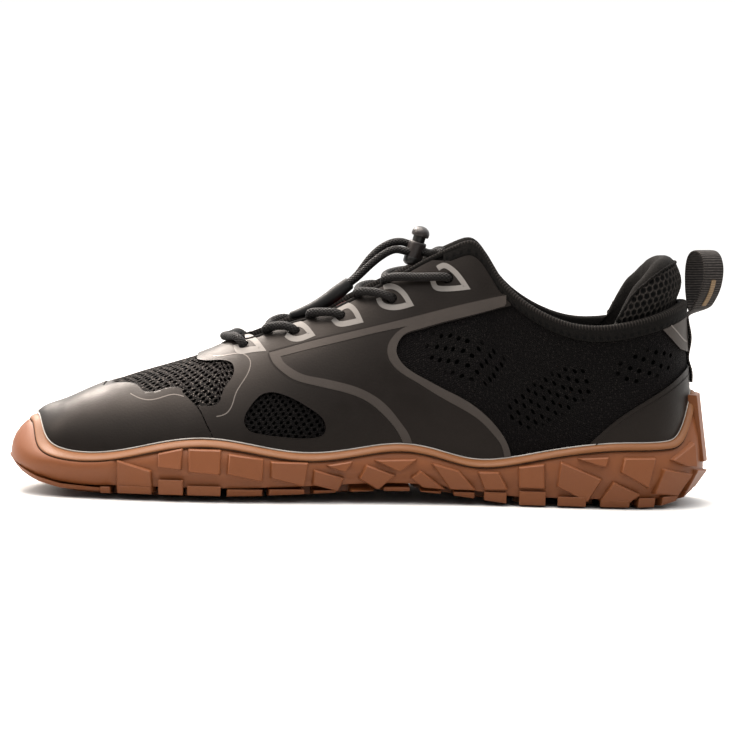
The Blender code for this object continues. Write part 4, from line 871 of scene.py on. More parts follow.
def filmHigh(s):
    # short of the throat edge and of the collar binding, over the ridge on the closed vamp
    collar = np.clip((np.abs(s) - 7.0) / 0.2, 0, 1)
    margin = filmSizes["throatMargin"] + (filmSizes["binding"] - filmSizes["throatMargin"]) * collar
    return np.where(np.abs(s) <= throat, 1.0, riseFromEdge(s, margin))


filmLow = riseAtHeight(filmStations, rimZ(filmStations) + filmSizes["overRim"])
filmTopRise = filmHigh(filmStations)


def addFilm(name, finish, keep, slotName, node, windows=None, holes=None):
    # a thin shell over the knit, kept inside one outline, less its windows and holes
    piece = shell(
        name, filmTop, filmSizes["under"], filmLow, filmTopRise, finish, filmStations,
        np.linspace(0, 1, filmSizes["rises"]),
    )
    cut(piece, prism([keep]), "INTERSECT")
    if windows is not None:
        cut(piece, prism(windows), "DIFFERENCE")
    if holes is not None:
        cut(piece, holes, "DIFFERENCE")
    return place(piece, slotName, node)


eyeletTable = table("station rise crest", [
    (4.45, 0.79, 89.0), (5.10, 0.76, 104.0), (5.72, 0.79, 121.7), (6.40, 0.80, 140.6), (7.16, 0.83, 151.6),
])
eyeletSizes = dict(hole=2.3, sides=24, under=-1.2, reach=3.0)


def eyeletPins(radius, low, high):
    # short round pins along the normal at every eyelet, on both sides
    s = np.concatenate([eyeletTable["station"], -eyeletTable["station"]])
    t = np.concatenate([eyeletTable["rise"]] * 2)
    centre, out = skin(s, t, 0.0), normal(s, t)
    across = unit(np.cross(out, (0.0, 0.0, 1.0)))
    over = np.cross(out, across)
    count = eyeletSizes["sides"]
    ring = circles(across, over, count)
    ends = [centre[:, None] + ring * radius + (out * level)[:, None] for level in (low, high)]
    faces = []
    for pin in range(len(s)):
        faces += drumFaces(count, 2 * count * pin)
    return addMesh("pins", np.stack(ends, axis=1), faces)


toeCap = addFilm(
    "toe_cap_film", film, rounded(toeCapLine, (0, 1, 2, 3, 11, 12, 17, 18)), "charcoal_film", "toe_cap",
)
quarterFilm = addFilm(
    "quarter_film_panel", film, rounded(quarterLine, (0, 1, 5, 15, 16, 17, 18, 34, 35)), "charcoal_film",
    "quarter_film", [closedLoop(windowLine, 120)],
    eyeletPins(eyeletSizes["hole"], eyeletSizes["under"], eyeletSizes["reach"]),
)
counter = addFilm(
    "heel_counter_film", film, rounded(counterLine, (0, 1, 5, 6, 7)), "charcoal_film", "heel_counter",
)
patch = addFilm("heel_patch_film", stripeFilm, np.array(patchLine, float), "grey_film", "heel_patch")
print("films:", [len(p.data.polygons) for p in (toeCap, quarterFilm, counter, patch)])

# Outsole: a moulded cup with a groove under its rim, a smooth toe bumper and flat-faced lugs
outsoleSizes = dict(
    stations=481, raised=0.95, root=1.8, draft=1.16, bevel=0.35, edgeDepth=11.0, bumperEnd=43.3, recess=1.3,
    tuckShare=0.45, beadRaise=0.35, lipEnd=2.72, middleRun=(34.0, 250.0), middlePitch=19.0,
    middleLength=13.0, middleLean=4.0, middleGap=3.0, threeOver=50.0, heelRib=(11.5, 17.6, 44.5),
    thread=0.3, bond=0.3,
)
sideLugTable = table("s1 z1 s2 z2 s3 z3 s4 z4", [
    (2.93, 15.4, 3.36, 11.8, 3.38, 3.4, 2.92, 3.6), (3.45, 18.7, 3.74, 20.9, 3.73, 12.8, 3.46, 13.6),
    (3.82, 20.7, 4.21, 20.6, 4.20, 11.2, 3.83, 11.9), (4.32, 19.1, 4.74, 17.3, 4.73, 8.6, 4.30, 11.4),
    (4.85, 16.4, 5.32, 16.0, 5.28, 6.7, 4.85, 10.1), (5.41, 13.2, 5.80, 10.1, 5.74, 4.7, 5.40, 7.4),
    (5.58, 15.2, 5.92, 16.9, 5.82, 12.6, 5.71, 13.6), (6.11, 15.3, 6.49, 11.4, 6.28, 5.5, 6.02, 9.9),
    (6.23, 17.3, 6.77, 17.9, 6.56, 13.1, 6.52, 13.3), (6.83, 13.3, 7.15, 6.0, 6.87, 6.5, 6.71, 10.5),
    (6.98, 16.3, 7.31, 13.6, 7.53, 6.0, 7.22, 6.1), (7.56, 13.4, 7.81, 13.4, 7.93, 6.6, 7.65, 6.3),
    (8.07, 15.7, 8.39, 17.1, 8.40, 7.6, 8.08, 7.6), (8.62, 18.1, 9.20, 11.8, 9.00, 2.5, 8.58, 8.5),
    (8.85, 19.9, 9.31, 20.7, 9.27, 17.1, 9.16, 17.4), (9.58, 20.4, 10.16, 20.5, 10.03, 8.8, 9.53, 14.8),
    (9.40, 10.7, 9.88, 5.9, 9.67, 1.9, 9.20, 3.1), (10.34, 16.0, 11.02, 13.6, 10.80, 4.6, 10.17, 6.2),
    (10.53, 19.7, 11.18, 25.9, 11.16, 16.3, 10.89, 17.0), (11.20, 15.0, 11.70, 14.0, 11.60, 6.8, 11.05, 5.6),
])
edgeLugTable = table("front back top", [
    (2.69, 2.83, 4.9), (2.93, 3.37, 5.6), (3.46, 3.76, 8.6), (3.81, 4.22, 6.4), (4.30, 4.74, 5.2),
    (4.83, 5.29, 5.4), (5.42, 5.72, 5.0), (5.92, 6.22, 4.9), (6.36, 6.70, 6.4), (6.84, 7.10, 5.0),
    (7.26, 7.52, 5.0),
    (7.64, 7.92, 5.4), (8.08, 8.42, 6.2), (8.58, 8.98, 4.4), (9.20, 9.70, 3.4), (9.86, 10.20, 4.4),
    (10.36, 10.80, 4.8), (11.00, 11.50, 6.4),
])


def treadDepth(x):
    # full in the middle, and less in proportion near toe and heel
    share = np.clip(np.minimum(0.5 + x / 50, 0.6 + (lastSizes["length"] - x) / 45), 0, 1)
    return soleSizes["tread"] * share


def bellyHeight(foot, rim):
    # the wall is widest at a fixed height, kept clear of its foot and of the rim
    low = np.maximum(soleSizes["belly"], foot + soleSizes["bellyOverFoot"])
    return np.minimum(low, rim - soleSizes["bellyUnderRim"])


def wallInset(s, z):
    # how far the outer wall lies inside the belly: tucked in below as a square, leaning in above as a power
    s, z = np.broadcast_arrays(np.asarray(s, float), np.asarray(z, float))
    flat, level = s.ravel(), z.ravel()
    plan, out = outline(flat)
    rim = rimZ(flat)
    edge = skin(flat, riseAtHeight(flat, rim), 0.0)
    toe, full = soleSizes["toeRimWall"], soleSizes["rimWall"]
    thick = toe + (full - toe) * smoothStep(np.abs(flat) - 1)
    lean = ((plan - edge[:, :2]) * out).sum(axis=1) - lastSizes["clearance"] - thick
    footX = (plan - out * tuckInset(flat)[:, None])[:, 0]
    foot = treadFace(footX, tuckInset(flat)) + treadDepth(footX)
    belly = bellyHeight(foot, rim)
    above = np.clip((level - belly) / (rim - belly), 0, 1)
    below = np.clip((belly - level) / (belly - foot), 0, 1.3)
    return (lean * above ** soleSizes["wallLean"] + tuckInset(flat) * below**2).reshape(s.shape)


def wall(s, z, raised=0.0):
    # point of the outer wall at that height, moved out by so much
    s, z = np.broadcast_arrays(np.asarray(s, float), np.asarray(z, float))
    plan, out = outline(s)
    spot = plan - out * (wallInset(s, z) - raised)[..., None]
    return stack(spot[..., 0], spot[..., 1], z)


def blockMesh(name, corners):
    # many blocks at once: an outer and an inner face of as many corners, and the sides between them
    count, _, sides, _ = corners.shape
    ring = np.arange(sides)
    turn = np.roll(ring, -1)
    start = (np.arange(count) * 2 * sides)[:, None]
    ends = np.concatenate([start + ring, start + ring[::-1] + sides]).tolist()
    walls = start[..., None] + np.stack([ring, ring + sides, turn + sides, turn], axis=-1)[None]
    made = addMesh(name, corners, ends + walls.reshape(-1, 4).tolist(), weld=1e-7)
    soft = made.modifiers.new("soft", "BEVEL")
    soft.width, soft.segments, soft.limit_method = outsoleSizes["bevel"] * 0.001, 1, "NONE"
    return applied(made)


def lugFace(s, z):
    # lugs stand out from the wall, and below the belly they keep out of part of its tuck
    tuck = np.where(z < soleSizes["belly"], wallInset(s, z), 0)
    return wall(s, z, outsoleSizes["raised"] + outsoleSizes["tuckShare"] * tuck)


def edgeSection(s, top, low=None, stands=None):
    # five corners of a lug on the bottom edge: wall, lip, inner foot, inner root, outer root
    plan, out = outline(s)
    high = lugFace(s, top)
    if stands is not None:
        flat = plan - out * stands[:, None]
        high = stack(flat[:, 0], flat[:, 1], top)
    inside = 1.2 + ((plan - high[:, :2]) * out).sum(axis=1)
    lip = plan - out * inside[:, None]
    if low is None:
        low = treadFace(lip[:, 0], inside)
    depth = outsoleSizes["edgeDepth"]
    deep = plan - out * depth
    base = treadFace(deep[:, 0], depth)
    root = lip - out * 4
    return np.stack([
        high, stack(lip[:, 0], lip[:, 1], low), stack(deep[:, 0], deep[:, 1], base),
        stack(deep[:, 0], deep[:, 1], base + treadDepth(deep[:, 0]) + 0.8),
        stack(root[:, 0], root[:, 1], np.maximum(top - 0.3, base + 2.2)),
    ], axis=1)


def bandHeight(s):
    # height of the rim's band, lower round the toe
    toe, full = soleSizes["toeRimBand"], soleSizes["rimBand"]
    return toe + (full - toe) * smoothStep((np.abs(s) - 0.4) / 1.4)


def grooveHeight(s):
    # low edge of the groove under the band
    return rimZ(s) - bandHeight(s) - soleSizes["groove"][0]


def cupRows(s):
    # rows from the tucked foot over the belly and into the groove, up behind the bead, then down the inside
    plan, out = outline(s)
    foot = plan - out * tuckInset(s)[:, None]
    bottom = treadFace(foot[:, 0], tuckInset(s)) + treadDepth(foot[:, 0])
    rim, (high, deep) = rimZ(s), soleSizes["groove"]
    belly = bellyHeight(bottom, rim)
    groove = grooveHeight(s)
    behind = 0.4 + (outsoleSizes["recess"] - 0.4) * smoothStep((plan[:, 0] - outsoleSizes["bumperEnd"]) / 0.5)
    rows = [stack(foot[:, 0], foot[:, 1], bottom)]
    for f in (0.12, 0.28, 0.45, 0.65, 0.85):
        rows.append(wall(s, bottom + f * (belly - bottom), -behind * smoothStep(f / 0.4)))
    for f in (0.0, 0.2, 0.4, 0.6, 0.8, 0.9):
        rows.append(wall(s, belly + f * (groove - belly), -behind))
    rows.append(wall(s, groove, -behind))
    rows.append(wall(s, groove + 0.2 * high, -deep * 0.8))
    rows.append(wall(s, groove + 0.7 * high, -deep))
    rows.append(wall(s, rim - 0.6, -deep))
    rise = riseAtHeight(s, rim)
    snug, ease = lastSizes["clearance"], lastSizes["clearance"] + soleSizes["cupEase"]
    rows += [skin(s, rise * f, snug if f == 1 else ease) for f in (1, 0.85, 0.7, 0.4, 0.15)]
    corner = plan - out * (inset(s) - ease)[:, None]
    rows.append(stack(corner[:, 0], corner[:, 1], insideFloor(corner[:, 0])))
    return np.stack(rows, axis=1)


def addBead(sizes):
    # half-round rim above the groove, a dark thread in the groove that also stands as the groove's painted
    # shade, and the line of cement along the upper with painted glints
    s = np.linspace(-heel, heel, sizes["stations"])[:-1]
    tall, rim = bandHeight(s), rimZ(s)
    rows = [wall(s, rim - tall, -1.6)]
    for f in (0.0, 0.04, 0.12, 0.26, 0.44, 0.62, 0.78, 0.9, 0.97):
        bow = math.sqrt(max(0.0, 1 - (2 * f - 1) ** 2))
        rows.append(wall(s, rim - tall * (1 - f), sizes["beadRaise"] + 0.9 * (bow - 1)))
    rows.append(wall(s, rim + 0.05, -1.1))
    rows.append(wall(s, rim - 0.3, -1.7))
    place(sweep("rim_bead", np.stack(rows, axis=1), beadGum, ring=True, sharp=70.0), "gum_rubber")
    # dark thread in the groove, also its painted shade
    groove = wall(s, grooveHeight(s) + 0.3, -0.75)
    # the cement line, painted pale as glints off the clear cement
    cement = skin(s, riseAtHeight(s, rim + 0.25), filmTop - 0.05)
    lines = [
        ("groove_thread_and_shade", groove, sizes["thread"], threadAndShadeCloth, "gum_rubber"),
        ("cement_glint_line", cement, sizes["bond"], cementGlintFilm, "charcoal_film"),
    ]
    for name, path, radius, finish, slotName in lines:
        closed = np.concatenate([path[-2:], path, path[:2]])
        net, uv = tubeNet(closed, radius, 8)
        place(sweep(name, net[2:-2], finish, ring=True, uv=uv[2:-1]), slotName)


def addOutsole(sizes):
    # a ring of cup sections closed across floor and tread, then lugs, lip, middle blocks and rib joined on
    s = np.linspace(-heel, heel, sizes["stations"])
    net = cupRows(s)
    net[[0, -1]] = (net[0] + net[-1]) / 2
    rows, cols = net.shape[:2]
    faces = gridFaces(rows, cols).tolist()
    index = np.arange(rows * cols).reshape(rows, cols)
    middle = rows // 2
    for ring in (index[:, 0], index[:, -1]):
        near, far = ring[middle:], ring[middle::-1]
        faces.append([int(near[0]), int(near[1]), int(far[1])])
        faces += np.stack([near[1:-1], near[2:], far[2:], far[1:-1]], axis=-1).tolist()
    sole = addMesh("gum_outsole", net, faces, gum)
    spot = np.stack([sideLugTable[k] for k in ("s1", "s2", "s3", "s4")], axis=-1)
    z = np.stack([sideLugTable[k] for k in ("z1", "z2", "z3", "z4")], axis=-1)
    wide = lambda v: v.mean(axis=1, keepdims=True) + (v - v.mean(axis=1, keepdims=True)) * sizes["draft"]
    deep = -sizes["root"] - sizes["recess"]
    front, back, top = edgeLugTable.values()
    lugs, ends = [], []
    for side in (1, -1):
        lugs.append(np.stack([lugFace(side * spot, z), wall(side * wide(spot), wide(z), deep)], axis=1))
        ends.append(np.stack([edgeSection(side * k, top) for k in (front, back)], axis=1))
    cut(sole, blockMesh("lugs", np.concatenate(lugs)), "UNION")
    cut(sole, blockMesh("lugs", np.concatenate(ends)), "UNION")
    around = np.linspace(-sizes["lipEnd"], sizes["lipEnd"], 121)
    plan, _ = outline(around)
    low, high = (np.interp(plan[:, 0], lipTable["x"], lipTable[k]) for k in ("low", "high"))
    stands = np.interp(np.abs(around), lipInset["station"], lipInset["inset"])
    cut(sole, sweep("lip", edgeSection(around, high, low, stands)), "UNION")
    blocks, gap = [], sizes["middleGap"]
    for start in np.arange(*sizes["middleRun"], sizes["middlePitch"]):
        end = start + sizes["middleLength"]
        spot = float(stationAt(start, outlineX))
        low = float(outlineY(spot)) + sizes["edgeDepth"] + gap
        high = float(outlineY(-spot)) - sizes["edgeDepth"] - gap
        count = 3 if high - low > sizes["threeOver"] else 2
        width = (high - low - gap * (count - 1)) / count
        for i in range(count):
            y, lean = low + i * (width + gap), sizes["middleLean"] * (1 if i % 2 else -1)
            px = np.array((start, start + lean, end + lean, end))
            py = np.array((y, y + width, y + width, y))
            face = treadFace(px, np.minimum(py - low, high - py) + sizes["edgeDepth"] + gap)
            blocks.append(np.stack([stack(px, py, face), stack(px, py, ground(px) + treadDepth(px) + 0.8)]))
    cut(sole, blockMesh("lugs", np.array(blocks)), "UNION")
    edge, low, high = sizes["heelRib"]
    turn = np.concatenate([np.linspace(edge, heel, 9), np.linspace(-heel, -edge, 9)[1:]])
    rib = np.stack([wall(turn, z, raised) for z, raised in (
        (low, 0.3), (high, 2.2), (high, -sizes["root"]), (low, -sizes["root"]),
    )], axis=1)
    cut(sole, sweep("rib", rib), "UNION", 30.0)
    return place(sole, "gum_rubber", "outsole")


outsole = addOutsole(outsoleSizes)
print("outsole:", len(outsole.data.polygons), "faces")

# Cords, laces and the cord lock
cordSizes = dict(radius=1.6, sides=20, points=72)
cordTable = dict(
    medial=[
        (174.0, -8.0, 100.0), (171.6, -5.2, 99.9), (169.2, -2.2, 99.0), (166.95, -1.2, 99.4),
        (158.6, -1.2, 99.85), (155.4, -1.3, 100.4), (149.8, -1.3, 98.2), (143.6, -1.2, 93.0),
        (138.0, -1.15, 87.6), (134.5, -1.15, 85.05),
    ],
    lateral=[
        (174.0, 11.8, 100.0), (171.6, 8.2, 99.9), (169.2, 5.0, 99.0), (166.95, 4.0, 99.4),
        (159.4, 4.0, 102.75), (156.2, 3.8, 103.4), (150.0, 3.2, 101.4), (143.6, 2.6, 95.4),
        (138.2, 2.35, 88.2), (134.5, 2.35, 85.05),
    ],
)


def tubeNet(path, radius, sides):
    # a round section carried along the path, and a weave map of length and girth in units of 10 mm
    path = np.asarray(path, float)
    ahead = unit(np.gradient(path, axis=0))
    side = unit(np.cross(ahead, (0.0, 0.02, 1.0)))
    up = np.cross(side, ahead)
    girth = np.arange(sides + 1) * 2 * math.pi / sides * radius
    uv = stack(lengths(path)[:, None], girth[None, :]) / 10
    return path[:, None] + circles(side, up, sides) * radius, uv


def joined(name, parts, finish, sharp=42.0):
    # several swept cords in one mesh
    points, faces, maps, start = [], [], [], 0
    for sections, uv in parts:
        sections = np.concatenate([sections, sections[:, :1]], axis=1)
        rows, cols = sections.shape[:2]
        faces += gridFaces(rows, cols, start).tolist()
        for end in (start, start + (rows - 1) * cols):
            faces.append(list(range(end, end + cols - 1)))
        points.append(sections.reshape(-1, 3))
        maps.append(uv.reshape(-1, 2))
        start += rows * cols
    return addMesh(name, np.concatenate(points), faces, finish, np.concatenate(maps), sharp=sharp)


# thread in the rim groove, dark as the groove's painted shade
threadAndShadeCloth = plainCloth("grooveThreadAndShade", "#1a0f09", "#3a2416")
addBead(outsoleSizes)
print("rim bead, groove thread and bond line made")

lockSizes = dict(
    foot=(161.2, 1.4, 94.0), axis=(0.263, 0.0, 0.965), half=(3.7, 4.8), barrel=10.0, gap=2.2, sides=48,
)


def lockNet(rows, sizes):
    # oval rings about the lock's axis: height along it and share of the full width
    rows = np.array(rows, float)
    axis = unit(np.array(sizes["axis"]))
    side = np.array((axis[2], 0.0, -axis[0]))
    angle = ringAngles(sizes["sides"])
    ring = np.cos(angle)[:, None] * side * sizes["half"][0]
    ring = ring + np.sin(angle)[:, None] * np.array((0.0, 1.0, 0.0)) * sizes["half"][1]
    return np.array(sizes["foot"]) + axis * rows[:, :1, None] + ring[None] * rows[:, 1:, None]


def addLock(sizes):
    # barrel, band, cap and stem as rows of oval rings, with a gap under the cap for the button's travel
    dome = sizes["barrel"] + sizes["gap"]
    barrel = sweep("cord_lock_body", lockNet([
        (0.0, 0.72), (0.15, 0.82), (0.5, 0.91), (1.1, 0.96), (3.0, 0.985), (5.0, 1.0), (8.6, 1.0),
        (9.3, 0.99), (9.75, 0.96), (10.0, 0.91), (10.0, 0.72), (4.0, 0.72),
    ], sizes), barrelPlastic, sharp=50.0)
    place(barrel, "grey_plastic", "cord_lock_barrel")
    band = sweep("cord_lock_band", np.swapaxes(lockNet([
        (0.6, 0.9), (0.7, 1.0), (1.0, 1.03), (3.1, 1.05), (3.4, 1.02), (3.4, 0.92),
    ], sizes), 0, 1), darkPlastic, ring=True)
    place(band, "black_plastic")
    button = sweep("cord_lock_cap", lockNet([
        (dome + 0.05, 0.66), (dome + 0.05, 0.9), (dome + 0.25, 0.96), (dome + 0.5, 0.985), (dome + 0.8, 0.99),
        (dome + 1.4, 1.0), (dome + 2.0, 0.97), (dome + 2.6, 0.9), (dome + 3.2, 0.78), (dome + 3.7, 0.62),
        (dome + 4.1, 0.42), (dome + 4.3, 0.2),
    ], sizes), barrelPlastic, sharp=50.0)
    place(button, "black_plastic", "cord_lock_button", body="button")
    stem = sweep("cord_lock_stem", lockNet([(7.0, 0.7), (dome + 0.5, 0.7)], sizes), darkPlastic)
    place(stem, "black_plastic", body="button")
    return [barrel, band, button, stem]


cordEndTable = table("length height wide thick", [
    (136.8, 86.6, 3.5, 2.6), (131.5, 82.2, 3.9, 3.0), (125.0, 77.5, 3.6, 2.7), (117.0, 73.6, 2.9, 2.2),
    (111.8, 71.9, 2.2, 1.5),
])


cordEndSizes = dict(middle=0.6, points=60, sides=32, endShare=0.04, square=0.75)


def addCordEnd(rows, sizes):
    # a flat sleeve with a squarish oval section that closes round both ends
    knots = stack(rows["length"], sizes["middle"], rows["height"])
    path = smoothPath(knots, sizes["points"])
    share = np.linspace(0, 1, sizes["points"])
    toEnd = np.minimum(share, 1 - share)
    closing = np.sqrt(np.clip(1 - (1 - toEnd / sizes["endShare"]) ** 2, 0.12, 1))
    closing = np.where(toEnd > sizes["endShare"], 1, closing)
    even = np.linspace(0, 1, len(knots))
    wide, thick = (np.interp(share, even, rows[k]) * closing for k in ("wide", "thick"))
    ahead = unit(np.gradient(path, axis=0))
    side = np.array((0.0, 1.0, 0.0))
    up = np.cross(ahead, side)
    angle = ringAngles(sizes["sides"])
    flat = lambda v: np.sign(v) * np.abs(v) ** sizes["square"]
    net = path[:, None] + flat(np.cos(angle))[None, :, None] * side * wide[:, None, None]
    net = net + flat(np.sin(angle))[None, :, None] * up[:, None] * thick[:, None, None]
    return place(sweep("cord_end_sleeve", net, sleevePlastic), "black_plastic", "cord_end")


lockPieces = addLock(lockSizes)
cordEnd = addCordEnd(cordEndTable, cordEndSizes)
for sideName, nodes in (("medial", ("lace_tail_medial", "pull_cord_medial")),
                        ("lateral", ("lace_tail_lateral", "pull_cord_lateral"))):
    route = smoothPath(cordTable[sideName], cordSizes["points"])
    tube = tubeNet(route, cordSizes["radius"], cordSizes["sides"])
    pull = joined("pull_cord_" + sideName + "_braid", [tube], cordCloth)
    place(pull, "black_cord", *nodes)

laceSizes = dict(radius=1.75, lift=3.4, levels=(-3.6, -6.0), tuck=6.6, steps=60, edgeLift=(2.9, 1.5))


def lacePoints(row, side, level):
    # out of the eyelet, over the near edge of the throat, across, and down under the far edge
    s, t, crest = (eyeletTable[k][row] for k in ("station", "rise", "crest"))
    at = lambda place, rise, lift: skin(np.array([place]), np.array([rise]), np.array([lift]))[0]
    over = side * float(stationAt(crest, topX))
    edge = float(edgeRise(np.array([over]))[0])
    near = (over * 0.3 + side * s * 0.7, edge * 0.3 + t * 0.7)
    points = [
        at(side * s, t, -2.4), at(side * s, t, 1.6), at(*near, laceSizes["lift"] + 0.1),
        at((over + side * s) / 2, (edge + t) / 2, laceSizes["lift"] + 0.2),
        at(over, edge, laceSizes["edgeLift"][0 if side > 0 or row == 0 else 1]),
    ]
    if row == 0:
        nose = last(np.array([throat]), np.array([1.0]))[0]
        return points, nose + (-0.5, 0.0, laceSizes["lift"] + 0.2)
    far = -side * (eyeletTable["station"][row - 1] + 0.04)
    farEdge = last(np.array([far]), edgeRise(np.array([far])))[0]
    middleX = (crest + farEdge[0]) / 2
    middle = float(stationAt(middleX, topX))
    high = last(np.array([middle]), edgeRise(np.array([middle])))[0][2]
    inward = math.copysign(1.0, float(topCentre(far)) - farEdge[1])
    nearEdge = last(np.array([over]), np.array([edge]))[0]
    points += [
        nearEdge + (-0.8, -inward * 3.0, -0.4), np.array((middleX, float(topCentre(middle)), high + level)),
        farEdge + (0.0, inward * 4.6, -3.0), farEdge + (-0.4, inward * 2.6, -laceSizes["tuck"]),
    ]
    return points, None


def addLaces():
    # the front bar from eyelet to eyelet, then two crossing strands in each row
    made = []
    for row in range(5):
        if row == 0:
            (medial, nose), (lateral, _) = lacePoints(0, 1, 0), lacePoints(0, -1, 0)
            strands = [medial + [nose] + lateral[::-1]]
        else:
            strands = [lacePoints(row, side, level)[0] for side, level in zip((1, -1), laceSizes["levels"])]
        routes = [smoothPath(points, laceSizes["steps"]) for points in strands]
        tubes = [tubeNet(route, laceSizes["radius"], cordSizes["sides"]) for route in routes]
        name = "lace_bar_braid" if row == 0 else "lace_strands_%d" % (row + 1)
        node = "lace_bar" if row == 0 else "lace_cross_%d" % (row + 1)
        made.append(place(joined(name, tubes, cordCloth), "black_cord", node))
    return made


laces = addLaces()
print("cords and laces:", len(laces) + 2 + len(lockPieces))

# Tongue and the strip that keeps it
tongueSizes = dict(start=3.7, end=7.45, under=12.0, ease=3.0, crown=-5.6, thick=3.0, stations=70, across=41)


def addTongue(sizes):
    # under one eyestay, over the middle and under the other; cubics across make it one soft curve
    s = np.linspace(sizes["start"], sizes["end"], sizes["stations"])
    sides = []
    for side in (1, -1):
        rows = []
        for share in (1.0, 0.66, 0.33, 1 / sizes["under"]):
            rise = riseFromEdge(side * s, sizes["under"] * share)
            rows.append(last(side * s, rise) - normal(side * s, rise) * sizes["ease"])
        sides.append(np.stack(rows, axis=1))
    middle = (sides[0][:, -1] + sides[1][:, -1]) / 2
    middle[:, 2] += sizes["crown"] * smoothStep((s - throat) / 0.3)
    knots = np.concatenate([sides[0], middle[:, None], sides[1][:, ::-1]], axis=1)
    count, across = knots.shape[1], sizes["across"]
    where = np.linspace(0, count - 1, across)
    weights = np.stack([spline(np.arange(count), row)(where) for row in np.eye(count)], axis=-1)
    top = np.einsum("ck,rkd->rcd", weights, knots)
    down = unit(np.cross(np.gradient(top, axis=0), np.gradient(top, axis=1)))
    down = down * -np.sign(down[:, across // 2, None, 2:3])
    edges = np.sqrt(np.clip(1 - np.abs(np.linspace(-1, 1, across)) ** 6, 0.02, 1))[None, :, None]
    fade = np.sqrt(np.clip((sizes["end"] - s) / 0.08, 0.05, 1))[:, None, None]
    half = sizes["thick"] / 2
    centre, away = top + down * half, down * half * edges * fade
    net = np.concatenate([centre - away, (centre + away)[:, ::-1]], axis=1)
    tongue = sweep("knit_tongue", net, tongueCloth)
    place(tongue, "black_knit", "tongue")


tongueCloth = plainCloth("tongueCloth", "#070606", "#211e1d")
addTongue(tongueSizes)

keeperTable = table("across lift", [
    (-7.4, 0.9), (-7.0, 2.6), (-5.6, 3.7), (-2.4, 4.3), (2.4, 4.3), (5.6, 3.7), (7.0, 2.6), (7.4, 0.9),
])
keeperSizes = dict(front=131.0, back=134.8, thick=0.7, drop=4.2, points=48)


def addKeeper(sizes):
    # a plain strip arched over the tongue
    front, back = sizes["front"], sizes["back"]
    middle = float(stationAt((front + back) / 2, topX))
    edge = last(np.array([middle]), edgeRise(np.array([middle])))[0]
    slope = float((topZ(middle + 0.1) - topZ(middle - 0.1)) / (topX(middle + 0.1) - topX(middle - 0.1)))
    arch = smoothPath(stack(keeperTable["across"], keeperTable["lift"]), sizes["points"])
    step = unit(np.gradient(arch, axis=0))
    outer = arch + stack(-step[:, 1], step[:, 0]) * sizes["thick"]
    corners = []
    for x, line in ((front, arch), (back, arch), (back, outer), (front, outer)):
        level = edge[2] - sizes["drop"] + (x - edge[0]) * slope
        corners.append(stack(x, float(topCentre(middle)) + line[:, 0], level + line[:, 1]))
    net = np.stack(corners, axis=1)
    uv = stack(np.linspace(0, 2, sizes["points"])[:, None], np.linspace(0, 0.9, 5)[None, :])
    place(sweep("keeper_strip", net, redTape, uv=uv), "red_tape", "tongue_keeper")


addKeeper(keeperSizes)
print("tongue and keeper made")

# Edge bindings: knit tape folded over the throat edge and the collar edge
throatFold = [(-0.4, -1.5), (0.9, -1.5), (1.25, -1.3), (1.42, -0.9), (1.42, -0.3)]
throatFold += [(-0.45 + 1.85 * math.cos(a), 0.9 * math.sin(a)) for a in np.linspace(0.15, math.pi - 0.1, 10)]
throatFold += [(-2.3, -1.4), (-1.2, -1.4)]
collarFold = [(-0.4, -5.5), (0.7, -5.5), (1.05, -5.2), (1.25, -4.2), (1.3, -2.6), (1.28, -1.0), (1.25, -0.3)]
collarFold += [(-0.6 + 1.85 * math.cos(a), 1.25 * math.sin(a)) for a in np.linspace(0.15, math.pi - 0.1, 10)]
collarFold += [(-2.45, -1.0), (-2.45, -2.4), (-1.2, -2.4)]
foldSizes = dict(throatEnd=7.3, collarStart=7.12, step=0.6)


def edgeFrame(s):
    # points, surface normals and directions out over the edge, at even steps of the edge's length
    t = edgeRise(s)
    edge, out, up = skin(s, t, 0.0), normal(s, t), last(s, t) - last(s, t - 0.03)
    gone = lengths(edge)
    where = np.linspace(0, gone[-1], int(gone[-1] / foldSizes["step"]))
    read = lambda v: np.stack([np.interp(where, gone, v[:, k]) for k in range(3)], axis=1)
    edge, out, up = read(edge), unit(read(out)), read(up)
    over = unit(np.cross(unit(np.gradient(edge, axis=0)), out))
    return edge, out, over * np.sign((over * up).sum(axis=1).mean()), where, np.interp(where, gone, s)


def addFold(name, s, fold, alongRibs, nodes):
    # the fold's section carried along the edge; below the edge a wide one follows the ribs, and marks say
    # where its stitches are
    edge, out, over, where, station = edgeFrame(s)
    rows = []
    for a, b in fold:
        if alongRibs and b < 0:
            rows.append(skin(station, riseFromEdge(station, -b), a))
        else:
            rows.append(edge + out * a + over * b)
    net = np.stack(rows, axis=1)
    girth = lengths(np.array(fold))
    girth = np.append(girth, girth[-1] + 2)
    uv = stack(where[:, None], girth[None, :]) / 10
    a, b = np.array(fold + fold[:1]).T
    whip = smoothStep((b + 0.9) / 0.5) * (a > -0.9)
    dash = np.exp(-((b + 4.2) / 0.5) ** 2) * (a > 0.5) * alongRibs
    marks = {k: np.broadcast_to(v, uv.shape[:2]) for k, v in (("whip", whip), ("dash", dash))}
    piece = sweep(name, net, foldTape, uv=uv, marks=marks, sharp=60.0)
    return place(piece, "black_knit", *nodes)


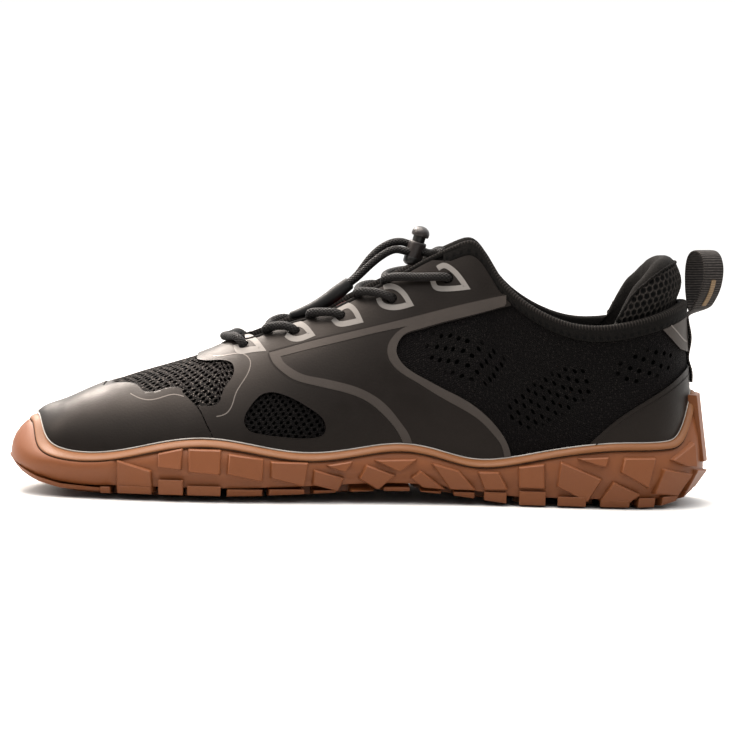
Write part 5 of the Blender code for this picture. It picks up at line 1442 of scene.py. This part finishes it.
def foldCloth():
    # folded binding tape: black ribbed knit, light whip stitches over its edge, a row of dark dashes below
    finish, tree, shader = newFinish("foldedBinding", 0.85, 1.5, 0.07)
    weave = addNode(tree, "UVMap", uv_map="weave").outputs["UV"]
    along = addNode(tree, "SeparateXYZ", {0: weave}).outputs[0]
    fuzz = addNode(tree, "TexNoise", {"Vector": weave, "Scale": 10 / 0.7}, noise_dimensions="2D").outputs[0]
    colour = addNode(
        tree, "Mix", {0: fuzz, 6: linear("#040403"), 7: linear("#110f0e")}, data_type="RGBA"
    ).outputs[2]
    stitches = []
    for mark, pitch, shade in (("whip", 1.25, "#1f1c1a"), ("dash", 3.2, "#030303")):
        count = addNode(tree, "Math", {0: along, 1: 10 / pitch}, operation="MULTIPLY").outputs[0]
        phase = addNode(tree, "Math", {0: count}, operation="FRACT").outputs[0]
        wave = addNode(tree, "Math", {0: phase, 1: 0.5}, operation="PINGPONG").outputs[0]
        bars = addNode(
            tree, "MapRange", {0: wave, 1: 0.2, 2: 0.36, 3: 0.0, 4: 1.0}, interpolation_type="SMOOTHSTEP"
        ).outputs[0]
        where = addNode(tree, "Attribute", attribute_name=mark).outputs["Fac"]
        stitch = addNode(tree, "Math", {0: where, 1: bars}, operation="MULTIPLY").outputs[0]
        colour = addNode(tree, "Mix", {0: stitch, 6: colour, 7: linear(shade)}, data_type="RGBA").outputs[2]
        stitches.append(stitch)
    rise = addNode(tree, "Math", {0: stitches[0], 1: stitches[1]}, operation="SUBTRACT").outputs[0]
    soft = addNode(tree, "Math", {0: fuzz, 1: 0.6, 2: rise}, operation="MULTIPLY_ADD").outputs[0]
    bump = addNode(tree, "Bump", {"Strength": 0.8, "Distance": 0.0003, "Height": soft}).outputs[0]
    setInputs(tree, shader, {"Base Color": colour, "Normal": bump})
    return finish


foldTape = foldCloth()
noseRun = 0.42
noseSteps = np.linspace(0, noseRun, 80) ** 2 / noseRun
sideSteps = np.linspace(noseRun + 0.01, foldSizes["throatEnd"] - throat, 160)
nose = throat + np.concatenate([noseSteps, sideSteps])
addFold("throat_binding", np.concatenate([nose[::-1], -nose[1:]]), throatFold, False, ())
around = np.linspace(foldSizes["collarStart"], heel, 400)
addFold("collar_tape", np.concatenate([around, -around[-2::-1]]), collarFold, True, ("collar_binding",))
print("bindings made")

# Foot bed
insoleSizes = dict(clear=1.0, thick=3.0, stations=121, across=31, cup=1.6)


def addInsole(sizes):
    # between the two feather edges on the cup's floor, turned up a little along its sides
    s = np.linspace(0.35, heel - 0.12, sizes["stations"])
    edges = []
    for side in (1, -1):
        plan, out = outline(side * s)
        edges.append(plan - out * (inset(s) + lastSizes["wall"] + sizes["clear"])[:, None])
    share = np.linspace(0, 1, sizes["across"])[None, :, None]
    flat = edges[0][:, None] * (1 - share) + edges[1][:, None] * share
    low = insideFloor(flat[..., 0]) + lastSizes["clearance"]
    side = np.abs(2 * share[..., 0] - 1)
    top = low + sizes["thick"] * np.sqrt(np.clip(1 - side**14, 0.1, 1)) + sizes["cup"] * (side**4 - side**16)
    face, sole = (stack(flat[..., 0], flat[..., 1], z) for z in (top, low))
    bed = sweep("foot_bed", np.concatenate([face, sole[:, ::-1]], axis=1), bedCloth)
    place(bed, "foot_bed_foam", "insole")


addInsole(insoleSizes)

# Heel pad: foam roll inside the heel, spacer mesh outside, knit lining over the top
padTable = table("station rise thick swell", [
    (9.55, -3.0, 3.0, 0.2), (9.8, 9.0, 4.0, 0.6), (10.0, 15.0, 5.0, 1.0), (10.4, 18.5, 6.2, 1.4),
    (10.8, 19.8, 7.0, 1.7), (11.2, 19.8, 7.4, 1.9), (11.6, 19.0, 7.6, 2.0), (12.0, 18.6, 7.6, 2.0),
])
padSizes = dict(
    depth=16.0, stations=281, ring=120, cell=3.0, ridge=0.5, relief=0.45, piping=0.55, seam=4.85, blur=19,
)


def hexRidge(p, q, pitch):
    # one on the walls of a honeycomb and zero in its cells, from the two nearest centres
    row = pitch * math.sqrt(3)
    gaps = []
    for shiftP, shiftQ in ((0, 0), (pitch / 2, row / 2)):
        u, v = p - shiftP, q - shiftQ
        du, dv = u - pitch * np.round(u / pitch), v - row * np.round(v / row)
        gaps += [np.hypot(du, dv), np.hypot(pitch - np.abs(du), dv)]
    gaps = np.sort(np.stack(gaps), axis=0)
    return 1 - smoothStep((gaps[1] - gaps[0]) / (2 * padSizes["ridge"]))


def addHeelPad(sizes):
    # twelve knots round the roll at each station, cubics through them, a honeycomb raised on the outer face,
    # and a piping along the seam
    side = np.linspace(padTable["station"][0], heel, sizes["stations"] // 2 + 1)
    s = np.concatenate([side, -side[-2::-1]])
    rise, thick, swell = (
        np.interp(np.abs(s), padTable["station"], padTable[k])[:, None] for k in ("rise", "thick", "swell")
    )
    kernel = np.hanning(sizes["blur"]) / np.hanning(sizes["blur"]).sum()
    rise = np.convolve(np.pad(rise[:, 0], sizes["blur"] // 2, mode="edge"), kernel, "valid")[:, None]
    deep = -(lastSizes["wall"] + lastSizes["clearance"] + 0.5)
    inside = lambda t: last(s, t) + normal(s, t) * deep
    low, half = (inside(riseFromEdge(s, depth)) for depth in (sizes["depth"], sizes["depth"] / 2))
    edge = inside(edgeRise(s))
    way = -normal(s, 0.9)
    way[:, 2] = 0
    way = unit(way)
    up = np.array((0.0, 0.0, 1.0))
    knots = np.stack([
        low, half, edge, edge - way * swell + up * rise * 0.36, edge - way * swell * 0.6 + up * rise * 0.66,
        edge + way * thick * 0.16 + up * rise * 0.9, edge + way * thick * 0.6 + up * rise,
        edge + way * thick * 1.04 + up * rise * 0.88, edge + way * thick * 1.2 + up * rise * 0.5,
        edge + way * thick * 1.1, half + way * thick * 0.8, low + way * thick * 0.3,
    ], axis=1)
    count = knots.shape[1]
    where = np.linspace(0, count, sizes["ring"], endpoint=False)
    wrapped = np.arange(-3, count + 4)
    weights = np.stack([spline(wrapped, row[wrapped % count])(where) for row in np.eye(count)], axis=-1)
    net = np.einsum("ck,rkd->rcd", weights, knots)
    along = lengths(net[:, sizes["ring"] // 4])
    steps = np.linalg.norm(np.diff(net, axis=1), axis=-1)
    climb = np.concatenate([np.zeros((len(s), 1)), np.cumsum(steps, axis=1)], axis=1)
    outer = (smoothStep((where - 1.6) / 0.3) * (1 - smoothStep((where - 4.75) / 0.2)))[None, :]
    ridge = hexRidge(along[:, None] + 0 * climb, climb, sizes["cell"])
    out = unit(np.cross(np.gradient(net, axis=0), np.gradient(net, axis=1)))
    out = out * np.sign((out[:, sizes["ring"] // 3] * -way).sum(axis=1).mean())
    net = net + out * (outer * (ridge - 0.6) * sizes["relief"])[..., None]
    # mark for the painted highlight on the ridges and the painted shade in the cells
    cell = outer * ridge + (1 - outer) * 0.22
    cell = np.concatenate([cell, cell[:, :1]], axis=1)
    pad = sweep("heel_collar_pad", net, padMesh, marks=dict(cell=cell), sharp=70.0)
    place(pad, "padded_mesh", "heel_pad")
    seam = int(sizes["seam"] / count * sizes["ring"])
    cord, uv = tubeNet(net[6:-6, seam] + out[6:-6, seam] * 0.2, sizes["piping"], 10)
    place(joined("heel_pad_piping", [(cord, uv)], foldTape), "padded_mesh")


addHeelPad(padSizes)
print("foot bed and heel pad made")

# Pull loop
loopSizes = dict(
    width=9.6, thick=1.1, turn=-60.0, axis=280.5, points=220, sides=28, turnFrom=74.5, turnRun=7.0,
    liningWidth=2.2, liningThick=0.4, liningLift=-0.72, liningHeights=(81.0, 92.0), liningFront=278.0,
    liningShare=0.62,
)
stripHeights = np.array((49.0, 54.0, 58.5, 65.0, 71.0, 76.5))
loopTable = table("length height", [
    (279.2, 79.2), (282.6, 82.2), (286.0, 86.6), (288.0, 92.0), (288.0, 97.4), (285.4, 101.6), (281.2, 102.8),
    (277.2, 101.2), (275.2, 96.8), (275.0, 91.0), (275.7, 85.4), (276.8, 81.0), (277.6, 78.0),
])


def loopNet(path, width, thick, lift):
    # a flat band with rounded edges, twisted about an upright axis above the collar
    ahead = unit(np.gradient(path, axis=0))
    wide = np.array((0.0, 1.0, 0.0))
    face = unit(np.cross(ahead, wide))
    angle = ringAngles(loopSizes["sides"])
    flat = lambda v, power: np.sign(v) * np.abs(v) ** power
    net = path[:, None] + flat(np.cos(angle), 0.35)[None, :, None] * wide * width / 2
    net = net + (flat(np.sin(angle), 0.6)[None, :, None] * thick / 2 + lift) * face[:, None]
    share = smoothStep((path[:, 2] - loopSizes["turnFrom"]) / loopSizes["turnRun"])
    turn = math.radians(loopSizes["turn"]) * share[:, None]
    dx, dy = net[..., 0] - loopSizes["axis"], net[..., 1] - path[:, None, 1]
    return stack(
        loopSizes["axis"] + dx * np.cos(turn) - dy * np.sin(turn),
        path[:, None, 1] + dx * np.sin(turn) + dy * np.cos(turn), net[..., 2],
    )


def addLoop(sizes):
    # a strip up the back of the heel that runs on into the loop, and a narrow tape inside the loop
    back = np.full(len(stripHeights), heel)
    lift = sizes["thick"] / 2 + np.interp(stripHeights, (54, 57, 60, 65), (filmTop, 0.1, 0.1, filmTop))
    strip = skin(back, riseAtHeight(back, stripHeights), lift)
    ring = stack(loopTable["length"], strip[-1, 1], loopTable["height"])
    path = smoothPath(np.concatenate([strip, ring]), sizes["points"])
    uv = stack(lengths(path)[:, None], np.linspace(0, 2.3, sizes["sides"] + 1)[None, :] * 10) / 10
    net = loopNet(path, sizes["width"], sizes["thick"], 0.0)
    place(sweep("pull_loop_webbing", net, webbing, uv=uv, sharp=60.0), "black_webbing", "pull_loop")
    low, high = sizes["liningHeights"]
    rows = (path[:, 2] > low) & (path[:, 2] < high) & (path[:, 0] > sizes["liningFront"])
    rows = rows & (np.arange(len(path)) < len(path) * sizes["liningShare"])
    net = loopNet(path[rows], sizes["liningWidth"], sizes["liningThick"], sizes["liningLift"])
    place(sweep("pull_loop_lining", net, tanTape, uv=uv[rows], sharp=60.0), "black_webbing")


addLoop(loopSizes)
print("pull loop made")

# Stripes, lines and marks on the films, as thin raised film
markSizes = dict(top=0.16, under=-0.15, step=0.8)


def slabParts(tops, bottoms):
    # closed thin slabs from pairs of nets: the faces, the undersides and the four rims
    points, faces, start = [], [], 0
    for top, bottom in zip(tops, bottoms):
        rows, cols = top.shape[:2]
        index = np.arange(2 * rows * cols).reshape(2, rows, cols) + start
        faces.append(gridFaces(rows, cols, start))
        faces.append(gridFaces(rows, cols, start + rows * cols))
        for line in ((slice(None), 0), (slice(None), -1), (0, slice(None)), (-1, slice(None))):
            near, far = index[0][line], index[1][line]
            faces.append(np.stack([near[:-1], near[1:], far[1:], far[:-1]], axis=-1))
        points += [top.reshape(-1, 3), bottom.reshape(-1, 3)]
        start += 2 * rows * cols
    return np.concatenate(points), np.concatenate(faces)


def ribbons(name, bands, finish, slotName, top=None, base=None, across=4):
    # bands between two lines in the side view, laid on the film on both sides of the shoe
    top = markSizes["top"] if top is None else top
    base = filmTop if base is None else base
    tops, bottoms = [], []
    for one, other in bands:
        share = np.linspace(0, 1, across)[None, :, None]
        flat = one[:, None] * (1 - share) + other[:, None] * share
        for side in (1, -1):
            s, t = onSide(flat[..., 0], flat[..., 1], side)
            tops.append(skin(s, t, base + top))
            bottoms.append(skin(s, t, base + markSizes["under"]))
    return place(addMesh(name, *slabParts(tops, bottoms), finish), slotName)


def runs(points, corners=()):
    # a line smooth between its corners, at even steps
    points = np.asarray(points, float)
    stops = [0, *corners, len(points) - 1]
    parts = []
    for a, b in zip(stops[:-1], stops[1:]):
        run = points[a:b + 1]
        size = np.linalg.norm(np.diff(run, axis=0), axis=1).sum()
        parts.append(smoothPath(run, max(3, int(size / markSizes["step"])))[:-1])
    return np.concatenate(parts + [points[-1:]])


def band(line, width, shift=0.0):
    # the two edges of a line of that width: mitred offsets from the mean of the neighbouring segments
    step = unit(np.diff(line, axis=0))
    side = stack(-step[:, 1], step[:, 0])
    before, after = np.concatenate([side[:1], side]), np.concatenate([side, side[-1:]])
    mean = unit(before + after)
    mean = mean / np.maximum((mean * after).sum(axis=1, keepdims=True), 0.45)
    return line + mean * (shift + width / 2), line + mean * (shift - width / 2)


def between(one, other, count):
    # two lines as the edges of one band
    return smoothPath(one, count), smoothPath(other, count)


topUpper = [(104.8, 57.6), (126.7, 64.0), (149.0, 70.2), (172.1, 76.7), (195.2, 82.8), (200.0, 83.9)]
topLower = [
    (109.4, 56.4), (128.9, 61.8), (149.0, 67.5), (164.4, 71.4), (172.0, 73.4), (186.0, 76.6), (200.0, 80.2),
]
frontOuter = [
    (104.8, 57.6), (106.3, 54.3), (109.4, 51.3), (114.6, 48.1), (122.4, 46.1), (129.8, 44.7), (137.7, 43.0),
    (144.6, 40.2), (150.5, 35.8), (154.7, 31.6), (157.7, 27.5), (159.7, 23.4),
]
frontInner = [
    (109.4, 56.4), (110.6, 54.4), (112.8, 52.7), (117.3, 50.3), (125.8, 48.7), (131.7, 47.7), (137.4, 46.5),
    (145.3, 43.6), (150.6, 40.3), (155.1, 36.0), (158.5, 31.8), (161.6, 27.5), (163.2, 23.4),
]
backOuter = [
    (164.4, 71.4), (158.5, 69.5), (154.1, 65.5), (152.3, 61.5), (152.6, 58.2), (156.3, 53.1), (163.7, 48.6),
    (172.4, 43.6), (181.8, 38.7), (190.2, 33.6), (195.9, 28.1), (199.2, 23.7), (200.5, 18.9),
]
backInner = [
    (164.8, 69.3), (159.0, 67.0), (156.3, 63.0), (155.9, 60.2), (157.0, 57.3), (161.1, 53.2), (167.5, 49.7),
    (175.6, 45.7), (183.4, 42.0), (190.2, 37.6), (195.4, 33.0), (199.4, 28.2), (202.0, 23.5), (203.3, 19.0),
]
upperInner = [(164.8, 69.3), (171.8, 71.5), (186.0, 75.5), (199.5, 79.5)]
upperOuter = [(164.4, 71.4), (171.8, 73.6), (186.0, 76.9), (199.5, 80.4)]
ribbons("side_stripes", [
    between(topUpper, topLower, 120), between(frontOuter, frontInner, 100),
    between(backOuter, backInner, 110), between(upperOuter, upperInner, 50),
], stripeFilm, "grey_film")
# painted shadows: dark lines along the outer edges of the stripes
ribbons("stripe_shadow_lines", [
    band(runs(topUpper), 0.5, 0.45), band(runs(frontOuter), 0.5, -0.45), band(runs(backOuter), 0.5, -0.45),
], edgeShadowFilm, "charcoal_film", 0.06)
windowFront = [(49.4, 40.2), (53.7, 38.6), (57.4, 38.2), (61.5, 39.0), (67.5, 40.6), (71.1, 40.1)]
windowBack = [
    (84.5, 33.0), (88.3, 34.3), (90.7, 37.8), (91.8, 41.7), (94.5, 46.4), (96.9, 50.6), (97.2, 54.5),
    (95.3, 56.3), (91.6, 56.6), (86.5, 55.5), (82.0, 54.9),
]
windowLines = [band(runs(line), 0.35) for line in (windowFront, windowBack)]
ribbons("vamp_window_lines", windowLines, lineFilm, "grey_film", 0.06)
eyeletMarks = [
    # outline, and which of its points is the corner
    ([(91.2, 59.6), (92.0, 57.9), (96.0, 58.0), (101.6, 59.0), (98.4, 62.0), (96.9, 62.6), (94.9, 62.2)], 3),
    ([(111.4, 64.6), (113.0, 63.6), (121.6, 65.2), (118.2, 68.3), (116.4, 68.8), (113.6, 67.9)], 2),
    ([(130.4, 71.6), (132.0, 70.1), (136.0, 70.2), (141.1, 71.6), (138.3, 76.0), (136.6, 76.9), (133.6, 75.9),
      (131.2, 74.3)], 3),
    ([(148.4, 80.6), (149.6, 78.4), (152.6, 77.3), (161.1, 78.9), (156.2, 84.6), (154.0, 85.3),
      (150.4, 84.9)], 3),
    ([(170.1, 88.4), (171.2, 86.0), (174.2, 85.4), (183.5, 86.4), (176.8, 93.8), (174.6, 94.6),
      (172.0, 93.3)], 3),
]
eyeletBands = [band(runs(line, (corner,)), 2.1) for line, corner in eyeletMarks]
ribbons("eyelet_marks", eyeletBands, markFilm, "grey_film", 0.1)
counterEdge = runs(counterLine[1:6])
patchEdge = runs([(265.6, 73.5), (269.0, 69.4), (272.4, 65.6), (275.4, 64.8)])
ribbons("counter_emboss", [band(counterEdge, 0.5, -2.0)], film, "charcoal_film", 0.25)
ribbons("patch_line", [band(patchEdge, 0.45)], lineFilm, "grey_film", 0.08)
print("stripes and marks made")

# Floor: a wide sheet of paper just under the tread
floorHalf, floorLevel = 60.0, -0.0003
floorCorners = [(x * floorHalf, y * floorHalf, floorLevel) for x, y in ((-1, -1), (1, -1), (1, 1), (-1, 1))]
floorMesh = bpy.data.meshes.new("floor")
floorMesh.from_pydata(floorCorners, [], [(0, 1, 2, 3)])
floor = bpy.data.objects.new("floor", floorMesh)
bpy.context.scene.collection.objects.link(floor)
paper, _, paperShader = newFinish("studioPaper", 0.9, 1.4, 0.1)
paperShader.inputs["Base Color"].default_value = linear("#c0c0bf")
floorMesh.materials.append(paper)
